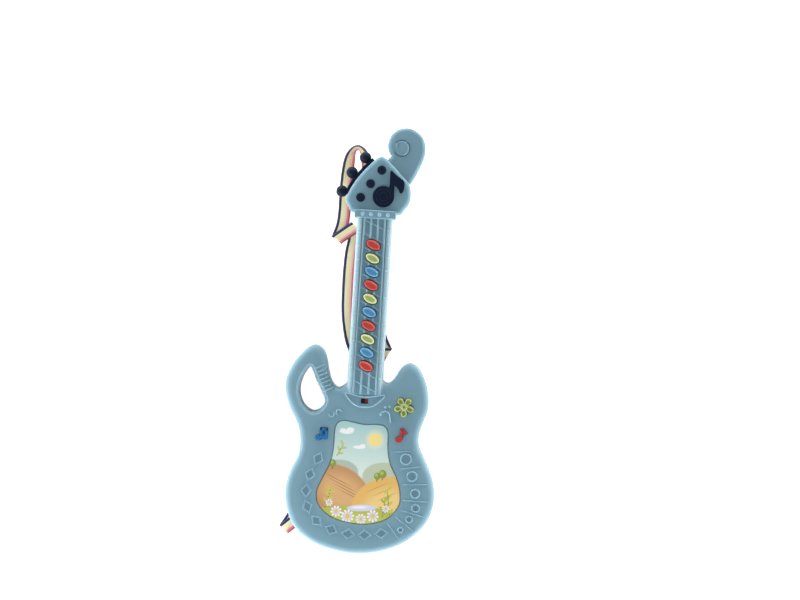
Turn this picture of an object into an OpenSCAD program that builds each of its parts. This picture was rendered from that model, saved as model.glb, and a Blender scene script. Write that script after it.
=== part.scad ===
// Toy electric guitar: a two-half moulded housing with a handle loop, ten sprung note keys on the
// neck, three tune buttons and a slide switch on the body, and a woven carrying strap.
// It lies on the pad of its back: +Z comes out of the front face, +Y runs up the neck to the head.

/* [Body] */
// Width of the body across its widest part
body_w = 146; // [140:1:154]
// Length of the body from its foot to the tip of the handle horn
body_l = 198; // [192:1:206]
// Thickness of the body from the resting pad to the front face
body_t = 36; // [35:0.5:40]
// Height of the joint between the two halves
split_z = 22; // [21:0.5:22.5]
// Wall of the moulded halves
wall = 2.4; // [2:0.1:2.6]
// Rounding of the front edge of the body
front_r = 6.5; // [5:0.5:7]
// Rounding of the back edge of the body
back_r = 7; // [5.5:0.5:7.5]
// Rounding of the edges of the handle hole
hole_r = 4.5; // [3:0.5:5]
// Height of the resting pad on the back
pad_h = 3; // [2.6:0.1:3.6]

/* [Neck] */
// Width of the neck
neck_w = 34; // [33:0.5:36]
// Thickness of the neck
neck_t = 23.5; // [22:0.5:25]
// Height of the neck's face above the face of the body
neck_rise = 1.5; // [1:0.1:2]
// Rounding of the long edges of the neck
neck_r = 5; // [4:0.5:6]
// Depth of the channel in which the keys stand
channel_depth = 0.6; // [0.4:0.1:0.8]
// Spread of the outer strings at the nut
string_spread_top = 19.4; // [18.8:0.2:20]
// Spread of the outer strings at the body
string_spread_foot = 21.6; // [21:0.2:22]
// Width of a moulded string
string_w = 1.1; // [0.8:0.1:1.3]
// Height of a moulded string
string_h = 0.8; // [0.6:0.1:1]

/* [Keys] */
// Length of a key's oval cap
key_l = 14.5; // [13.5:0.1:15]
// Width of a key's oval cap
key_w = 8.7; // [8:0.1:9]
// Distance from one key to the next
key_pitch = 12.8; // [12.4:0.1:13.2]
// Slant of the keys across the neck
key_tilt = 25; // [20:1:28]
// Distance of the lowest key from the middle of the body
key_start = 89.4; // [88:0.2:92]
// Height of a key above the channel
key_rise = 2.8; // [2.4:0.1:3.4]
// Travel of a key
key_travel = 1.4; // [1:0.1:1.6]
// Gap between a key and its opening
key_gap = 0.5; // [0.35:0.05:0.6]

/* [Head] */
// Length of the head from the nut to the top of the scroll
head_l = 84.5; // [82:0.5:88]
// Depth of the head's face below the face of the body
head_drop = 1; // [0.5:0.1:1.5]
// Depth of the scroll's face below the face of the head
scroll_drop = 3; // [2:0.1:3.5]
// Thickness of the head
head_t = 20; // [19:0.5:21]
// Rounding of the head's edges
head_r = 4; // [3:0.5:4.5]
// Length of the nut across the neck
nut_l = 39.6; // [38:0.2:42]
// Width of the nut along the neck
nut_w = 8; // [7:0.2:9]
// Radius of a tuning peg's ball
peg_r = 5.6; // [5:0.1:6]
// Radius of a string post's cap
post_r = 4.3; // [4:0.1:4.6]
// Radius of the round part of the note emblem
emblem_r = 10.2; // [9.6:0.1:10.6]

/* [Buttons] */
// Height of the tune buttons above the face
button_rise = 2.2; // [1.8:0.1:2.6]
// Travel of the tune buttons
button_travel = 1.2; // [1:0.1:1.4]
// Gap between a tune button and its opening
button_gap = 0.4; // [0.3:0.05:0.5]
// Travel of the slide switch
switch_travel = 3; // [2.6:0.1:3.2]
// Width of the switch knob along its travel
knob_w = 3.6; // [3.2:0.1:4]

/* [Picture] */
// Depth of the picture's recess
picture_depth = 1; // [0.8:0.1:1.2]
// Thickness of the picture plate
picture_t = 0.8; // [0.6:0.1:0.8]
// Gap round the picture plate
picture_gap = 0.25; // [0.2:0.05:0.4]

/* [Electrics] */
// Diameter of a battery cell
cell_d = 14.2; // [13.8:0.1:14.4]
// Length of a battery cell
cell_l = 50; // [49:0.5:50.5]
// Diameter of the speaker
speaker_d = 40; // [38:0.5:42]
// Thickness of the circuit boards
board_t = 1.6; // [1.2:0.1:1.6]

/* [Strap] */
// Width of the strap
strap_w = 12; // [11:0.5:12.5]
// Thickness of the strap
strap_t = 0.8; // [0.6:0.1:0.9]

/* [Hidden] */
$fn = 48;
// Clearance between parts that sit in each other
fit = 0.25;
// How far fused forms reach into each other
sink = 1;
// The size of the body for which its outline's points are written
outline_w = 146;
outline_l = 198;
kx = body_w / outline_w;
ky = body_l / outline_l;
function on_body(x, y) = [x * kx, y * ky];

face_z = body_t;
face_in = face_z - wall;
back_z = pad_h;
floor_z = back_z + wall;
neck_z = face_z + neck_rise;
neck_back = neck_z - neck_t;
channel_z = neck_z - channel_depth;
neck_in = channel_z - wall;
head_z = face_z - head_drop;
head_back = head_z - head_t;
scroll_z = head_z - scroll_drop;

key_count = 10;
key_end = key_start + key_pitch * (key_count - 1);
nut_y = key_end + 29;
neck_foot = 62 * ky;
hk = head_l / 84.5;
function on_head(x, y) = [x * hk, y * hk + nut_y];

// Smooth closed curve through a list of points
function span(a, b, c, d, t) =
    b + 0.5 * t * (c - a + t * (2 * a - 5 * b + 4 * c - d + t * (3 * (b - c) + d - a)));
function curve(p, steps) = let (n = len(p))
    [for (i = [0:n - 1], s = [0:steps - 1])
        span(p[(i + n - 1) % n], p[i], p[(i + 1) % n], p[(i + 2) % n], s / steps)];
function unit(v) = v / norm(v);
// Outline moved to its left, which is inwards for one that runs anticlockwise
function inset(p, d) = let (n = len(p))
    [for (i = [0:n - 1]) let (t = unit(p[(i + 1) % n] - p[(i + n - 1) % n])) p[i] + d * [-t[1], t[0]]];
function lift(p, z) = [for (q = p) [q[0], q[1], z]];
function arc(x, y, r, from, to, n) =
    [for (k = [0:n]) let (a = from + (to - from) * k / n) [x + r * cos(a), y + r * sin(a)]];
// Triangles that fill a closed outline, cut off it one corner after the other
function side(a, b, c) = (b[0] - a[0]) * (c[1] - a[1]) - (b[1] - a[1]) * (c[0] - a[0]);
function inside(a, b, c, q) = q != a && q != b && q != c && side(a, b, q) >= 0 && side(b, c, q) >= 0
    && side(c, a, q) >= 0;
function is_ear(p, left, i) = let (n = len(left), a = p[left[(i + n - 1) % n]], b = p[left[i]],
    c = p[left[(i + 1) % n]])
    side(a, b, c) > 0 && len([for (k = left) if (inside(a, b, c, p[k])) k]) == 0;
function ear(p, left, i) = i >= len(left) - 1 || is_ear(p, left, i) ? i : ear(p, left, i + 1);
function fill(p, left) = let (n = len(left)) n < 4 ? [left] : let (i = ear(p, left, 0))
    concat([[left[(i + n - 1) % n], left[i], left[(i + 1) % n]]],
        fill(p, [for (k = [0:n - 1]) if (k != i) left[k]]));
function oval(l, w, n) = [for (k = [0:n - 1]) [l / 2 * cos(360 * k / n), w / 2 * sin(360 * k / n)]];

body_line = curve([for (p = [
    [3, -90], [28, -85.5], [50, -74.5], [65, -59], [71.5, -43], [72.5, -28], [69, -13], [62, 2],
    [55.5, 15], [54.5, 26], [57.5, 38], [61.5, 50], [61.5, 63], [58, 77], [51.5, 89], [43, 94.3],
    [34.5, 90], [27.5, 78.5], [21.5, 73.6], [13, 78.5], [0, 82], [-12, 78], [-19, 70.5], [-25.5, 67],
    [-31.6, 72.4], [-35.2, 83.4], [-38, 95], [-42.2, 103], [-49.5, 106.8], [-57, 103.5], [-63.5, 96.5],
    [-69.5, 88], [-75, 75], [-75.5, 62], [-71, 47], [-62, 30], [-58.5, 15], [-60, 0], [-66.5, -15],
    [-70, -32], [-67, -52], [-58, -69], [-42, -81], [-20, -88]]) on_body(p[0], p[1])], 3);
hole_line = curve([for (p = [
    [-48, 43.2], [-41, 46.2], [-37, 53.5], [-40, 62], [-46.5, 73.5], [-51.5, 84.5], [-54.5, 84],
    [-59.5, 75.5], [-62, 65], [-60.5, 55], [-55.5, 47]]) on_body(p[0], p[1])], 4);
picture_line = curve([for (p = [
    [6, -61.5], [28, -55.5], [39, -43], [40.5, -32], [37, -17], [29, -1], [26, 14], [25.5, 27],
    [21.5, 33.8], [13, 35.3], [2, 34.5], [-8, 36], [-18, 37.3], [-24.5, 34], [-26.6, 26], [-26.8, 11],
    [-29, -4], [-36, -20], [-40.5, -34], [-36, -47.5], [-20, -58]]) on_body(p[0], p[1])], 4);
pad_line = curve([for (p = [
    [0, -74], [20, -72], [30, -63], [33, -44], [32, -20], [30, 2], [30, 30], [24, 46], [0, 50],
    [-24, 46], [-30, 30], [-30, 2], [-32, -20], [-33, -44], [-30, -63], [-20, -72]])
    on_body(p[0], p[1])], 3);
head_line = curve([for (p = [
    [19, 0.5], [27.5, 6.5], [32, 14], [32.6, 22], [30.5, 31], [22.5, 39.5], [12.5, 49.5], [5.5, 55],
    [0.5, 55], [-6, 49.5], [-14, 40.5], [-21, 31], [-26.5, 20.5], [-29, 13.5], [-26.5, 7], [-19, 0.5]])
    on_head(p[0], p[1])], 3);
scroll_line = curve([for (p = [
    [20, 24], [32, 32], [38.5, 44.5], [43.3, 57], [44, 67], [41, 76], [34.5, 82], [26, 84.5],
    [16.8, 82.4], [10.2, 76], [7.9, 67], [9.7, 60.5], [12, 57], [9, 53.5], [4, 44], [8, 30]])
    on_head(p[0], p[1])], 3);

key_colours = ["#d2372d", "#c3cc66", "#3f8fd0"];
function key_y(i) = key_end - i * key_pitch;
function key_name(i) = str("key_", i < 9 ? "0" : "", i + 1);
function cell_name(i) = str("battery_cell_", i + 1);

// Heights inside the neck: the wall, a key's flange, the rubber strip and the circuit board
flange_t = 1.2;
flange_rim = 1.2;
key_flange_z = neck_in - fit - flange_t;
plunger_h = 2.2;
plunger_r = 2;
plunger_z = key_flange_z - plunger_h;
dome_h = 2.4;
strip_t = 1;
strip_z = plunger_z - dome_h - strip_t;
neck_board_z = strip_z - board_t;
strip_w = 16;
neck_board_w = neck_w - 2 * wall - 3;
neck_board_foot = key_start - 12;
neck_board_end = key_end + 8;
neck_boss_x = neck_board_w / 2 - 2.6;
neck_boss_y = [for (i = [1, 5, 8]) key_y(i) + key_pitch / 2];

// Heights inside the body
button_flange_z = face_in - fit - flange_t;
button_plunger_z = button_flange_z - plunger_h;
button_dome_h = 3.2;
main_board_top = button_plunger_z - button_dome_h;
main_board_z = main_board_top - board_t;
flower_at = on_body(38.5, 52.7);
blue_at = on_body(-38.4, 22.5);
red_at = on_body(37, 25.5);
switch_at = on_body(0.6, 56);
button_places = [flower_at, blue_at, red_at];
button_flange_r = [11.6, 8.4, 8.4];
main_board_line = [
    [blue_at[0] - 9, blue_at[1] - 10], [flower_at[0] + 9, blue_at[1] - 10],
    [flower_at[0] + 9, switch_at[1] + 7], [on_body(-27, 0)[0], switch_at[1] + 7],
    [on_body(-27, 0)[0], blue_at[1] + 13], [blue_at[0] - 9, blue_at[1] + 13]];
main_boss_at = [on_body(-22, 18), on_body(22, 18), on_body(-20, 52), on_body(22, 54)];

// Slide switch
slot_w = knob_w + switch_travel + 2 * fit;
knob_l = 4.4;
skirt_t = 0.8;
skirt_z = face_in - fit - skirt_t;
housing_h = 4.6;
switch_stem = 2;

// Speaker, which faces the grille in the back
speaker_at = on_body(0, 26);
gasket_t = 0.8;
basket_z = floor_z + gasket_t;
basket_h = 6;
basket_t = 0.8;
magnet_r = 11.5;
magnet_h = 5;
basket_top = basket_z + basket_t + basket_h;
speaker_ring_h = 3;

// Battery bay
cell_pitch = cell_d + 0.8;
cell_count = 3;
contact_gap = 2.4;
bay_w = cell_pitch * cell_count + 0.6;
bay_l = cell_l + 2 * contact_gap;
bay_at = on_body(0, -33);
bay_wall = 1.6;
door_t = 2;
door_rim = 1.6;
cell_z = door_t + fit + cell_d / 2;
bay_top = cell_z + cell_d / 2 + fit;
contact_t = 0.5;
contact_w = 9;
tab_w = 14;
tab_l = 9;
door_screw_at = bay_at - [0, bay_l / 2 + door_rim + tab_l / 2 - 1];

// Screws
screw_r = 1.4;
screw_head_r = 2.6;
screw_head_t = 1.6;
pilot_r = screw_r + 0.1;
boss_r = 3.4;
back_boss_r = 4.2;
body_screw_at = [on_body(54, -40), on_body(-54, -36), on_body(45, 4), on_body(-46, 4),
    on_body(49, 74), on_body(0, -79)];
neck_screw_at = [[0, key_end + 15]];
head_screw_at = [on_head(21, 11), on_head(27, 66)];

// Strap bars in pockets of the back
bar_r = 1.5;
pocket_w = strap_w + 4;
pocket_l = 12;
pocket_d = 5.6;
pocket_wall = 1.4;
bar_z = 2.6;
head_bar_turn = 49;
head_bar_at = [0, 268];
foot_bar_turn = 104;
foot_bar_at = [-42, -56];

// Relief on the faces
relief_h = 0.6;
relief_w = 0.9;
channel_w = string_spread_foot + 2.4;
fret_l = 22.5;
fret_w = 0.9;
fret_h = 0.4;
fret_y = [for (k = [-2:key_count]) key_start + (k + 0.5) * key_pitch];
mark_l = 2.6;
mark_w = 0.7;
mark_h = 0.3;
nut_rise = 1;
nut_bump_r = 1.6;
nut_edge = 1.2;
nut_corner = 1.8;
nut_line = [for (q = [[1, -1, -90], [1, 1, 0], [-1, 1, 90], [-1, -1, 180]])
    each arc(q[0] * (nut_l / 2 - nut_corner), nut_y + q[1] * (nut_w / 2 - nut_corner), nut_corner,
        q[2], q[2] + 90, 3)];
crescent_line = curve([for (p = [
    [0.6, 49.8], [10, 52], [18, 59], [20, 63], [16, 63.2], [0.6, 60.6], [-14.5, 63.2], [-18.5, 63],
    [-16.5, 59], [-9, 52]]) on_body(p[0], p[1])], 4);
crescent_hole = curve([for (p = [
    [0.6, 50.8], [9.5, 52.9], [17, 59.3], [18.6, 62.2], [15.8, 62.2], [0.6, 59.6], [-14.3, 62.2],
    [-17.1, 62.2], [-15.6, 59.3], [-8.5, 52.9]]) on_body(p[0], p[1])], 4);
diamond_l = 13;
diamond_w = 10;
function diamond(l, w) = [[l / 2, 0], [0, w / 2], [-l / 2, 0], [0, -w / 2]];
diamond_at = [for (p = [
    [-40, -1], [-46.7, -16.4], [-49.5, -32], [-47.6, -47], [-38, -60], [-23.4, -67.4], [-7.3, -70.8],
    [8.5, -70.8], [24.3, -68.4]]) on_body(p[0], p[1])];
diamond_turn = [for (k = [0:len(diamond_at) - 1]) let (
    d = diamond_at[min(k + 1, len(diamond_at) - 1)] - diamond_at[max(k - 1, 0)]) atan2(d[1], d[0])];
ring_at = [[43.3, 3.3, 5.4], [50, -12.6, 4.9], [54, -28.8, 4.5], [55.2, -42.7, 3.8], [49.7, -53.6, 3.4],
    [42, -64, 2.7]];
divider_at = [[31, 9.5, 48, 11], [37.5, -6.5, 59, -3], [41.5, -21, 65, -19.5], [42.8, -36, 67, -36],
    [41.5, -45.5, 63, -50.5], [36.5, -52, 55.5, -65.5], [29, -58.5, 41, -73]];
divider_w = 0.5;
divider_h = 0.3;
curl_r = 5.2;
curl_dot_at = [[16.9, 44.6, 1.4], [20.6, 51.4, 1], [25, 52.2, 1]];
rib_count = 7;
rib_h = 0.35;
rib_w = 1;
rib_l = 13;
grip_from = on_body(-45, 85.5);
grip_to = on_body(-34.5, 65);
petal_r = 3.4;
petal_at = 6.2;
petal_turn = -90;
flower_disc_r = 5.2;
petal_rim = 1.1;
petal_dish = 0.7;
eye_at = on_head(21.3, 64.7);
eye_r = 7.6;
groove_w = 1.1;
groove_d = 0.8;

// Keys, buttons and switch
key_rim = 2;
key_dish = 0.5;
key_flange_w = key_pitch * cos(key_tilt) - 2 * fit;
knob_rise = 0.4;
skirt_w = slot_w + 2 * switch_travel;
stem_l = 2.4;
housing_w = 12;
housing_l = 6;
housing_t = 1.2;

// Head trim
post_at = [on_head(3.6, 42.5), on_head(-6.3, 29), on_head(-15, 15.5)];
post_stem_r = 2;
post_h = 1.8;
dome_r = (post_r * post_r + (post_h - 1) * (post_h - 1)) / (2 * (post_h - 1));
emblem_at = on_head(6.6, 17.5);
emblem_t = 1.6;
emblem_flag = [for (p = [
    [11.8, 18], [16.6, 18], [16.4, 28.2], [20.2, 25.2], [22.6, 21.4], [25.2, 22.8], [26, 28.5],
    [25.4, 33.4], [18.5, 38], [12.2, 42.9]]) on_head(p[0], p[1])];
emblem_pin_at = [emblem_at, on_head(14.3, 32)];
emblem_pin_r = 1.6;
peg_at = [on_head(-12.9, 54.5), on_head(-24.8, 39.5), on_head(-33.5, 21.1)];
peg_root = [on_head(-6.3, 49.5), on_head(-18, 35.3), on_head(-26.4, 20.7)];
peg_from = 26;
peg_to = 37;
peg_out = 3.6;
peg_h = 8;
peg_stem_r = 3;
peg_tongue_in = wall + 0.4;
peg_tongue_h = 3;
// Strip along the head's left edge between two distances outside it
function edge_strip(inner, outer, first, last) = concat(
    [for (k = [first:last]) inset(head_line, -outer)[k]],
    [for (k = [last:-1:first]) inset(head_line, -inner)[k]]);

// Small electrical parts
board_boss_r = 2;
board_screw_r = 0.9;
board_pilot_r = board_screw_r + 0.1;
board_head_r = 1.8;
board_head_t = 1;
board_bite = 4;
chip_at = on_body(-8, 36);
chip_h = 1.8;
cable_x = -5;
cable_w = 8;
cable_t = 0.8;
cable_drop = 2;
wire_r = 0.6;
cell_nub = 1.4;
cell_nub_r = 2.7;
tongue_x = [-12, 12];
tongue_w = 8;
tongue_l = 2.4;
tongue_t = 1.4;
tongue_z = door_t - 0.4;
door_sink = 1.4;
door_head_t = 1.2;
door_screw_l = 8;
door_boss_h = 9;

// Grille holes in rings of six more each
grille_r = 1.3;
grille_step = 5;
grille_at = [for (n = [0:3], k = [0:max(1, 6 * n) - 1]) let (a = 360 * k / max(1, 6 * n))
    speaker_at + n * grille_step * [cos(a), sin(a)]];

// Case screws as [x, y, back face, seat of the head, point]
screw_places = concat(
    [for (p = body_screw_at) [p[0], p[1], back_z, back_z + 6, split_z + 8]],
    [for (p = neck_screw_at) [p[0], p[1], neck_back, neck_back + 4, split_z + 8]],
    [for (p = head_screw_at) [p[0], p[1], head_back, head_back + 4, split_z + 6]]);

// Flat fold of the strap about a crease that runs in the direction turn
function fold(x, y, z0, z1, turn, way, stretch) = let (m = turn + 90 * way, r = abs(z1 - z0) / 2)
    [[x, y, z0, turn, 0, stretch], [x + r * cos(m), y + r * sin(m), (z0 + z1) / 2, turn, 0, stretch],
     [x, y, z1, turn, 0, stretch]];
// Loop of the strap round a bar, through points of [distance along the way, height above the bar]
function loop(at, way, turn, z, points) =
    [for (p = points) [at[0] + p[0] * cos(way), at[1] + p[0] * sin(way), z + p[1], turn, 0, 1]];
lay = 0.6;
over = 2.2;
// Stations of the strap as [x, y, z, turn of its width in plan, tilt of its width, stretch of its width]
strap_route = concat(
    loop(head_bar_at, head_bar_turn + 90, head_bar_turn, head_back + bar_z,
        [[15, -4.3], [6, -4.3], [0, -4.2], [-1.7, -3.5], [-2.4, -1.8], [-2.2, 0], [-1.6, 1.6], [0, 2.2],
         [1.6, 1.6], [2.2, 0], [2.6, -1.6], [4, -2.8], [7, -3.2], [15, -3.3]]),
    [[-12.5, 285, 12.9, 54, 12, 1], [-15.5, 292.5, 12, 68, 40, 1], [-20, 298, 10.8, 100, 70, 1],
     [-25, 296, 9.6, 145, 66, 1], [-28, 288.5, 8, 162, 38, 1], [-29.5, 277, 5.4, 170, 14, 1],
     [-30.4, 263, 2.6, 174, 4, 1], [-30.6, 248, 1, 176, 0, 1], [-30.6, 236, lay, 174, 0, 1],
     [-32, 222, lay, 168, 0, 1]],
    fold(-36, 209, lay, over, 147, 1, 1.05),
    [[-27.5, 215.8, over, 128, 0, 1]],
    fold(-18.5, 222.5, over, lay, 152, -1, 1.09),
    [[-19.6, 210, lay, 175, 0, 1], [-21.5, 198, lay, 174, 0, 1], [-22.5, 180, lay, 178, 0, 1],
     [-22.4, 160, lay, 181, 0, 1], [-21.6, 140, lay, 185, 0, 1], [-18.8, 122, lay, 194, 0, 1]],
    fold(-10, 96, lay, over, 149, 1, 1.5),
    [[4.5, 98.5, over, 100, 0, 1]],
    fold(19.5, 101, over, lay, 62, -1, 1.2),
    [[13, 114, lay, 33, 0, 1], [9, 130, lay, 16, 0, 1], [7.2, 148, lay, 3, 0, 1], [7, 168, lay, 0, 0, 1]],
    fold(7, 184, lay, over, -45, 1, 1.41),
    fold(-6.5, 184, over, lay, -135, -1, 1.41),
    [[-6.5, 168, lay, 180, 0, 1], [-6.3, 145, lay, 180, 0, 1], [-5, 123, lay, 180, 0, 1],
     [-4.6, 109, 3.2, 179, 0, 1], [-4.7, 97, 3.8, 177, 0, 1], [-5.7, 86, 3, 170, 0, 1],
     [-8.8, 75.5, 1.8, 160, 0, 1], [-14.4, 64.6, lay, 144, 0, 1], [-23.4, 55.8, lay, 135, 0, 1],
     [-32.7, 46.6, lay, 143, 0, 1], [-39.4, 33.8, lay, 159, 0, 1],
     [-43.8, 18.5, lay, 166, 0, 1], [-46.5, 0, lay, 169, 0, 1], [-49, -18, lay, 171, 0, 1],
     [-52.5, -35, lay, 167, 0, 1], [-57.5, -50, lay, 160, 0, 1], [-63.5, -63, lay, 153, 0, 1]],
    fold(-70, -74, lay, over, 140, 1, 1.02),
    [[-61.5, -66.5, 2, 128, 0, 1], [-53, -60.2, 1.8, 116, 0, 1]],
    loop(foot_bar_at, foot_bar_turn - 90, foot_bar_turn, back_z + bar_z,
        [[-5, -5], [0, -5], [2, -4.3], [2.8, -2.4], [2.2, 0], [1.6, 1.6], [0, 2.2], [-1.6, 1.6],
         [-2.2, 0], [-2.6, -1.8], [-3.4, -3.1], [-5, -3.7]]));
tie_y = 150;
tie_x = 14;
tie_w = 5;
tie_h = 1.4;
tie_t = 0.15;

// Solid through rings of points, the lowest ring first
module loft(rings) {
    n = len(rings[0]);
    m = len(rings);
    polyhedron(
        points = [for (r = rings) each r],
        faces = concat(
            fill(rings[0], [for (i = [0:n - 1]) i]),
            [for (f = fill(rings[m - 1], [for (i = [0:n - 1]) i]))
                [(m - 1) * n + f[2], (m - 1) * n + f[1], (m - 1) * n + f[0]]],
            [for (j = [0:m - 2], i = [0:n - 1]) each [
                [j * n + i, (j + 1) * n + i, (j + 1) * n + (i + 1) % n],
                [j * n + i, (j + 1) * n + (i + 1) % n, j * n + (i + 1) % n]]]));
}

// Rings of a dish whose upper edge is rounded, d inside the outline p
function crown(p, z0, z1, r, d, steps) = concat(
    [lift(inset(p, d), z0)],
    [for (k = [0:steps]) let (a = 90 * k / steps)
        lift(inset(p, d + r * (1 - cos(a))), z1 - r * (1 - sin(a)))]);
// Rings of a dish whose lower edge is rounded, d inside the outline p
function bowl(p, z0, z1, r, d, steps) = concat(
    [for (k = [steps:-1:0]) let (a = 90 * k / steps)
        lift(inset(p, d + r * (1 - cos(a))), z0 + r * (1 - sin(a)))],
    [lift(inset(p, d), z1)]);

// Section of the neck above the joint, with the channel of the keys in its face
function neck_upper(w, z0, z1, r, channel_w, channel_floor) = concat(
    [[w / 2, z0]], arc(w / 2 - r, z1 - r, r, 0, 90, 5),
    [[channel_w / 2, z1], [channel_w / 2, channel_floor], [-channel_w / 2, channel_floor],
     [-channel_w / 2, z1]],
    arc(r - w / 2, z1 - r, r, 90, 180, 5), [[-w / 2, z0]]);
// Section of the room in the neck above the joint
function neck_room(w, z0, z1, r) = concat(
    [[w / 2, z0]], arc(w / 2 - r, z1 - r, r, 0, 90, 3), arc(r - w / 2, z1 - r, r, 90, 180, 3),
    [[-w / 2, z0]]);
// Section of the neck below the joint
function neck_lower(w, z0, z1, r) = concat(
    [[-w / 2, z1]], arc(r - w / 2, z0 + r, r, 180, 270, 5),
    arc(w / 2 - r, z0 + r, r, 270, 360, 5), [[w / 2, z1]]);

// Section drawn across the neck, made long from y0 to y1
module along_neck(line, y0, y1) {
    translate([0, y1, 0]) rotate([90, 0, 0]) linear_extrude(y1 - y0) polygon(line);
}

module plate(line, z0, z1) {
    translate([0, 0, z0]) linear_extrude(z1 - z0) polygon(line);
}

module tube(r, bore, h) {
    difference() {
        cylinder(r = r, h = h);
        translate([0, 0, -sink]) cylinder(r = bore, h = h + 2 * sink);
    }
}

// Bar of width w and height h from the point a to the point b
module ridge(a, b, w, z0, z1) {
    d = b - a;
    translate([a[0], a[1], z0]) rotate(atan2(d[1], d[0]))
        translate([0, -w / 2, 0]) cube([norm(d), w, z1 - z0]);
}

// Part of a raised ring
module curl(r, w, h, turn) {
    rotate_extrude(angle = turn) translate([r - w / 2, 0]) square([w, h]);
}

// Handle hole through the front half, which flares towards the face
module handle_hole_front(grow) {
    flare = [for (k = [0:2]) let (a = 35 * k)
        lift(inset(hole_line, -grow - hole_r * (1 - cos(a))), face_z - hole_r * (1 - sin(a)))];
    loft(concat([lift(inset(hole_line, -grow), split_z - 2 * sink)], flare,
        [lift(inset(hole_line, -grow - hole_r), face_z + sink)]));
}

// Handle hole through the back half, which flares towards the back
module handle_hole_back(grow) {
    flare = [for (k = [2:-1:0]) let (a = 35 * k)
        lift(inset(hole_line, -grow - hole_r * (1 - cos(a))), back_z + hole_r * (1 - sin(a)))];
    loft(concat([lift(inset(hole_line, -grow - hole_r), back_z - sink)], flare,
        [lift(inset(hole_line, -grow), split_z + 2 * sink)]));
}

module flower_shape(grow) {
    for (k = [0:4]) rotate(72 * k + petal_turn) translate([petal_at, 0]) circle(r = petal_r + grow);
    circle(r = flower_disc_r + grow);
}

// Two notes joined by a beam, with the space between the stems filled
module blue_note_shape(grow) {
    translate([-3, -3.8]) circle(r = 2.6 + grow);
    translate([3.2, -2.8]) circle(r = 2.6 + grow);
    translate([-1.2 - grow, -4 - grow]) square([6.8 + 2 * grow, 9.8 + 2 * grow]);
}

module red_note_shape(grow) {
    translate([-1.8, -4]) circle(r = 3 + grow);
    translate([-0.6 - grow, -4 - grow]) square([2.4 + 2 * grow, 10.6 + 2 * grow]);
    translate([1.4, 5.4]) rotate(-48) translate([-0.6 - grow, -1.3 - grow])
        square([6 + 2 * grow, 2.6 + 2 * grow]);
}

// Everything that stands out of the front half's faces
module front_relief() {
    for (side = [-1, -1 / 3, 1 / 3, 1]) {
        top = side * string_spread_top / 2;
        foot = side * string_spread_foot / 2;
        half = string_w / 2;
        plate([[foot - half, neck_foot + 1], [foot + half, neck_foot + 1],
            [top + half, nut_y], [top - half, nut_y]], channel_z - sink, channel_z + string_h);
    }
    for (y = fret_y) translate([0, y, channel_z - sink]) rotate(-key_tilt)
        translate([-fret_l / 2, -fret_w / 2, 0]) cube([fret_l, fret_w, sink + fret_h]);
    for (k = [1:len(fret_y) - 1], side = [-1, 1])
        translate([side * (channel_w / 2 + 2.2), fret_y[k] - side * fret_l / 2 * sin(key_tilt), neck_z])
            translate([-mark_l / 2, -mark_w / 2, -sink]) cube([mark_l, mark_w, sink + mark_h]);
    loft(crown(nut_line, split_z, neck_z + nut_rise, nut_edge, 0, 2));
    for (x = [-12, -4, 4, 12]) translate([x, nut_y, neck_z + nut_rise]) sphere(r = nut_bump_r);
    difference() {
        plate(crescent_line, face_z - sink, face_z + relief_h);
        plate(crescent_hole, face_z - 2 * sink, face_z + sink);
    }
    for (k = [0:len(diamond_at) - 1]) translate([0, 0, face_z - sink]) translate(diamond_at[k])
        rotate(diamond_turn[k]) linear_extrude(sink + relief_h) difference() {
            polygon(diamond(diamond_l, diamond_w));
            polygon(diamond(diamond_l - 3 * relief_w, diamond_w - 2.4 * relief_w));
        }
    for (q = ring_at) translate([q[0] * kx, q[1] * ky, face_z - sink])
        tube(q[2], q[2] - relief_w, sink + relief_h);
    for (q = divider_at) ridge(on_body(q[0], q[1]), on_body(q[2], q[3]), divider_w,
        face_z - sink, face_z + divider_h);
    ridge(on_body(21, 43.5) + [curl_r, 0], on_body(22, 37) + [curl_r, 0], relief_w,
        face_z - sink, face_z + relief_h);
    translate([0, 0, face_z - sink]) {
        translate(on_body(21, 43)) curl(curl_r, relief_w, sink + relief_h, 150);
        for (p = curl_dot_at) translate(on_body(p[0], p[1])) cylinder(r = p[2], h = sink + relief_h);
        translate(on_body(-23, 44)) rotate(20) curl(3.2, relief_w, sink + relief_h, 230);
        translate(on_body(-30, 42)) rotate(200) curl(3.2, relief_w, sink + relief_h, 210);
    }
}

// Ribs across the grip beside the neck, which follow its rounded back
module grip_ribs() {
    d = grip_to - grip_from;
    for (k = [0:rib_count - 1]) {
        p = grip_from + d * k / (rib_count - 1);
        translate([p[0], p[1], 0]) rotate(atan2(d[1], d[0]) - 90)
            along_neck(neck_room(rib_l, face_z - front_r, face_z + rib_h, front_r - 1),
                -rib_w / 2, rib_w / 2);
    }
}

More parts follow.
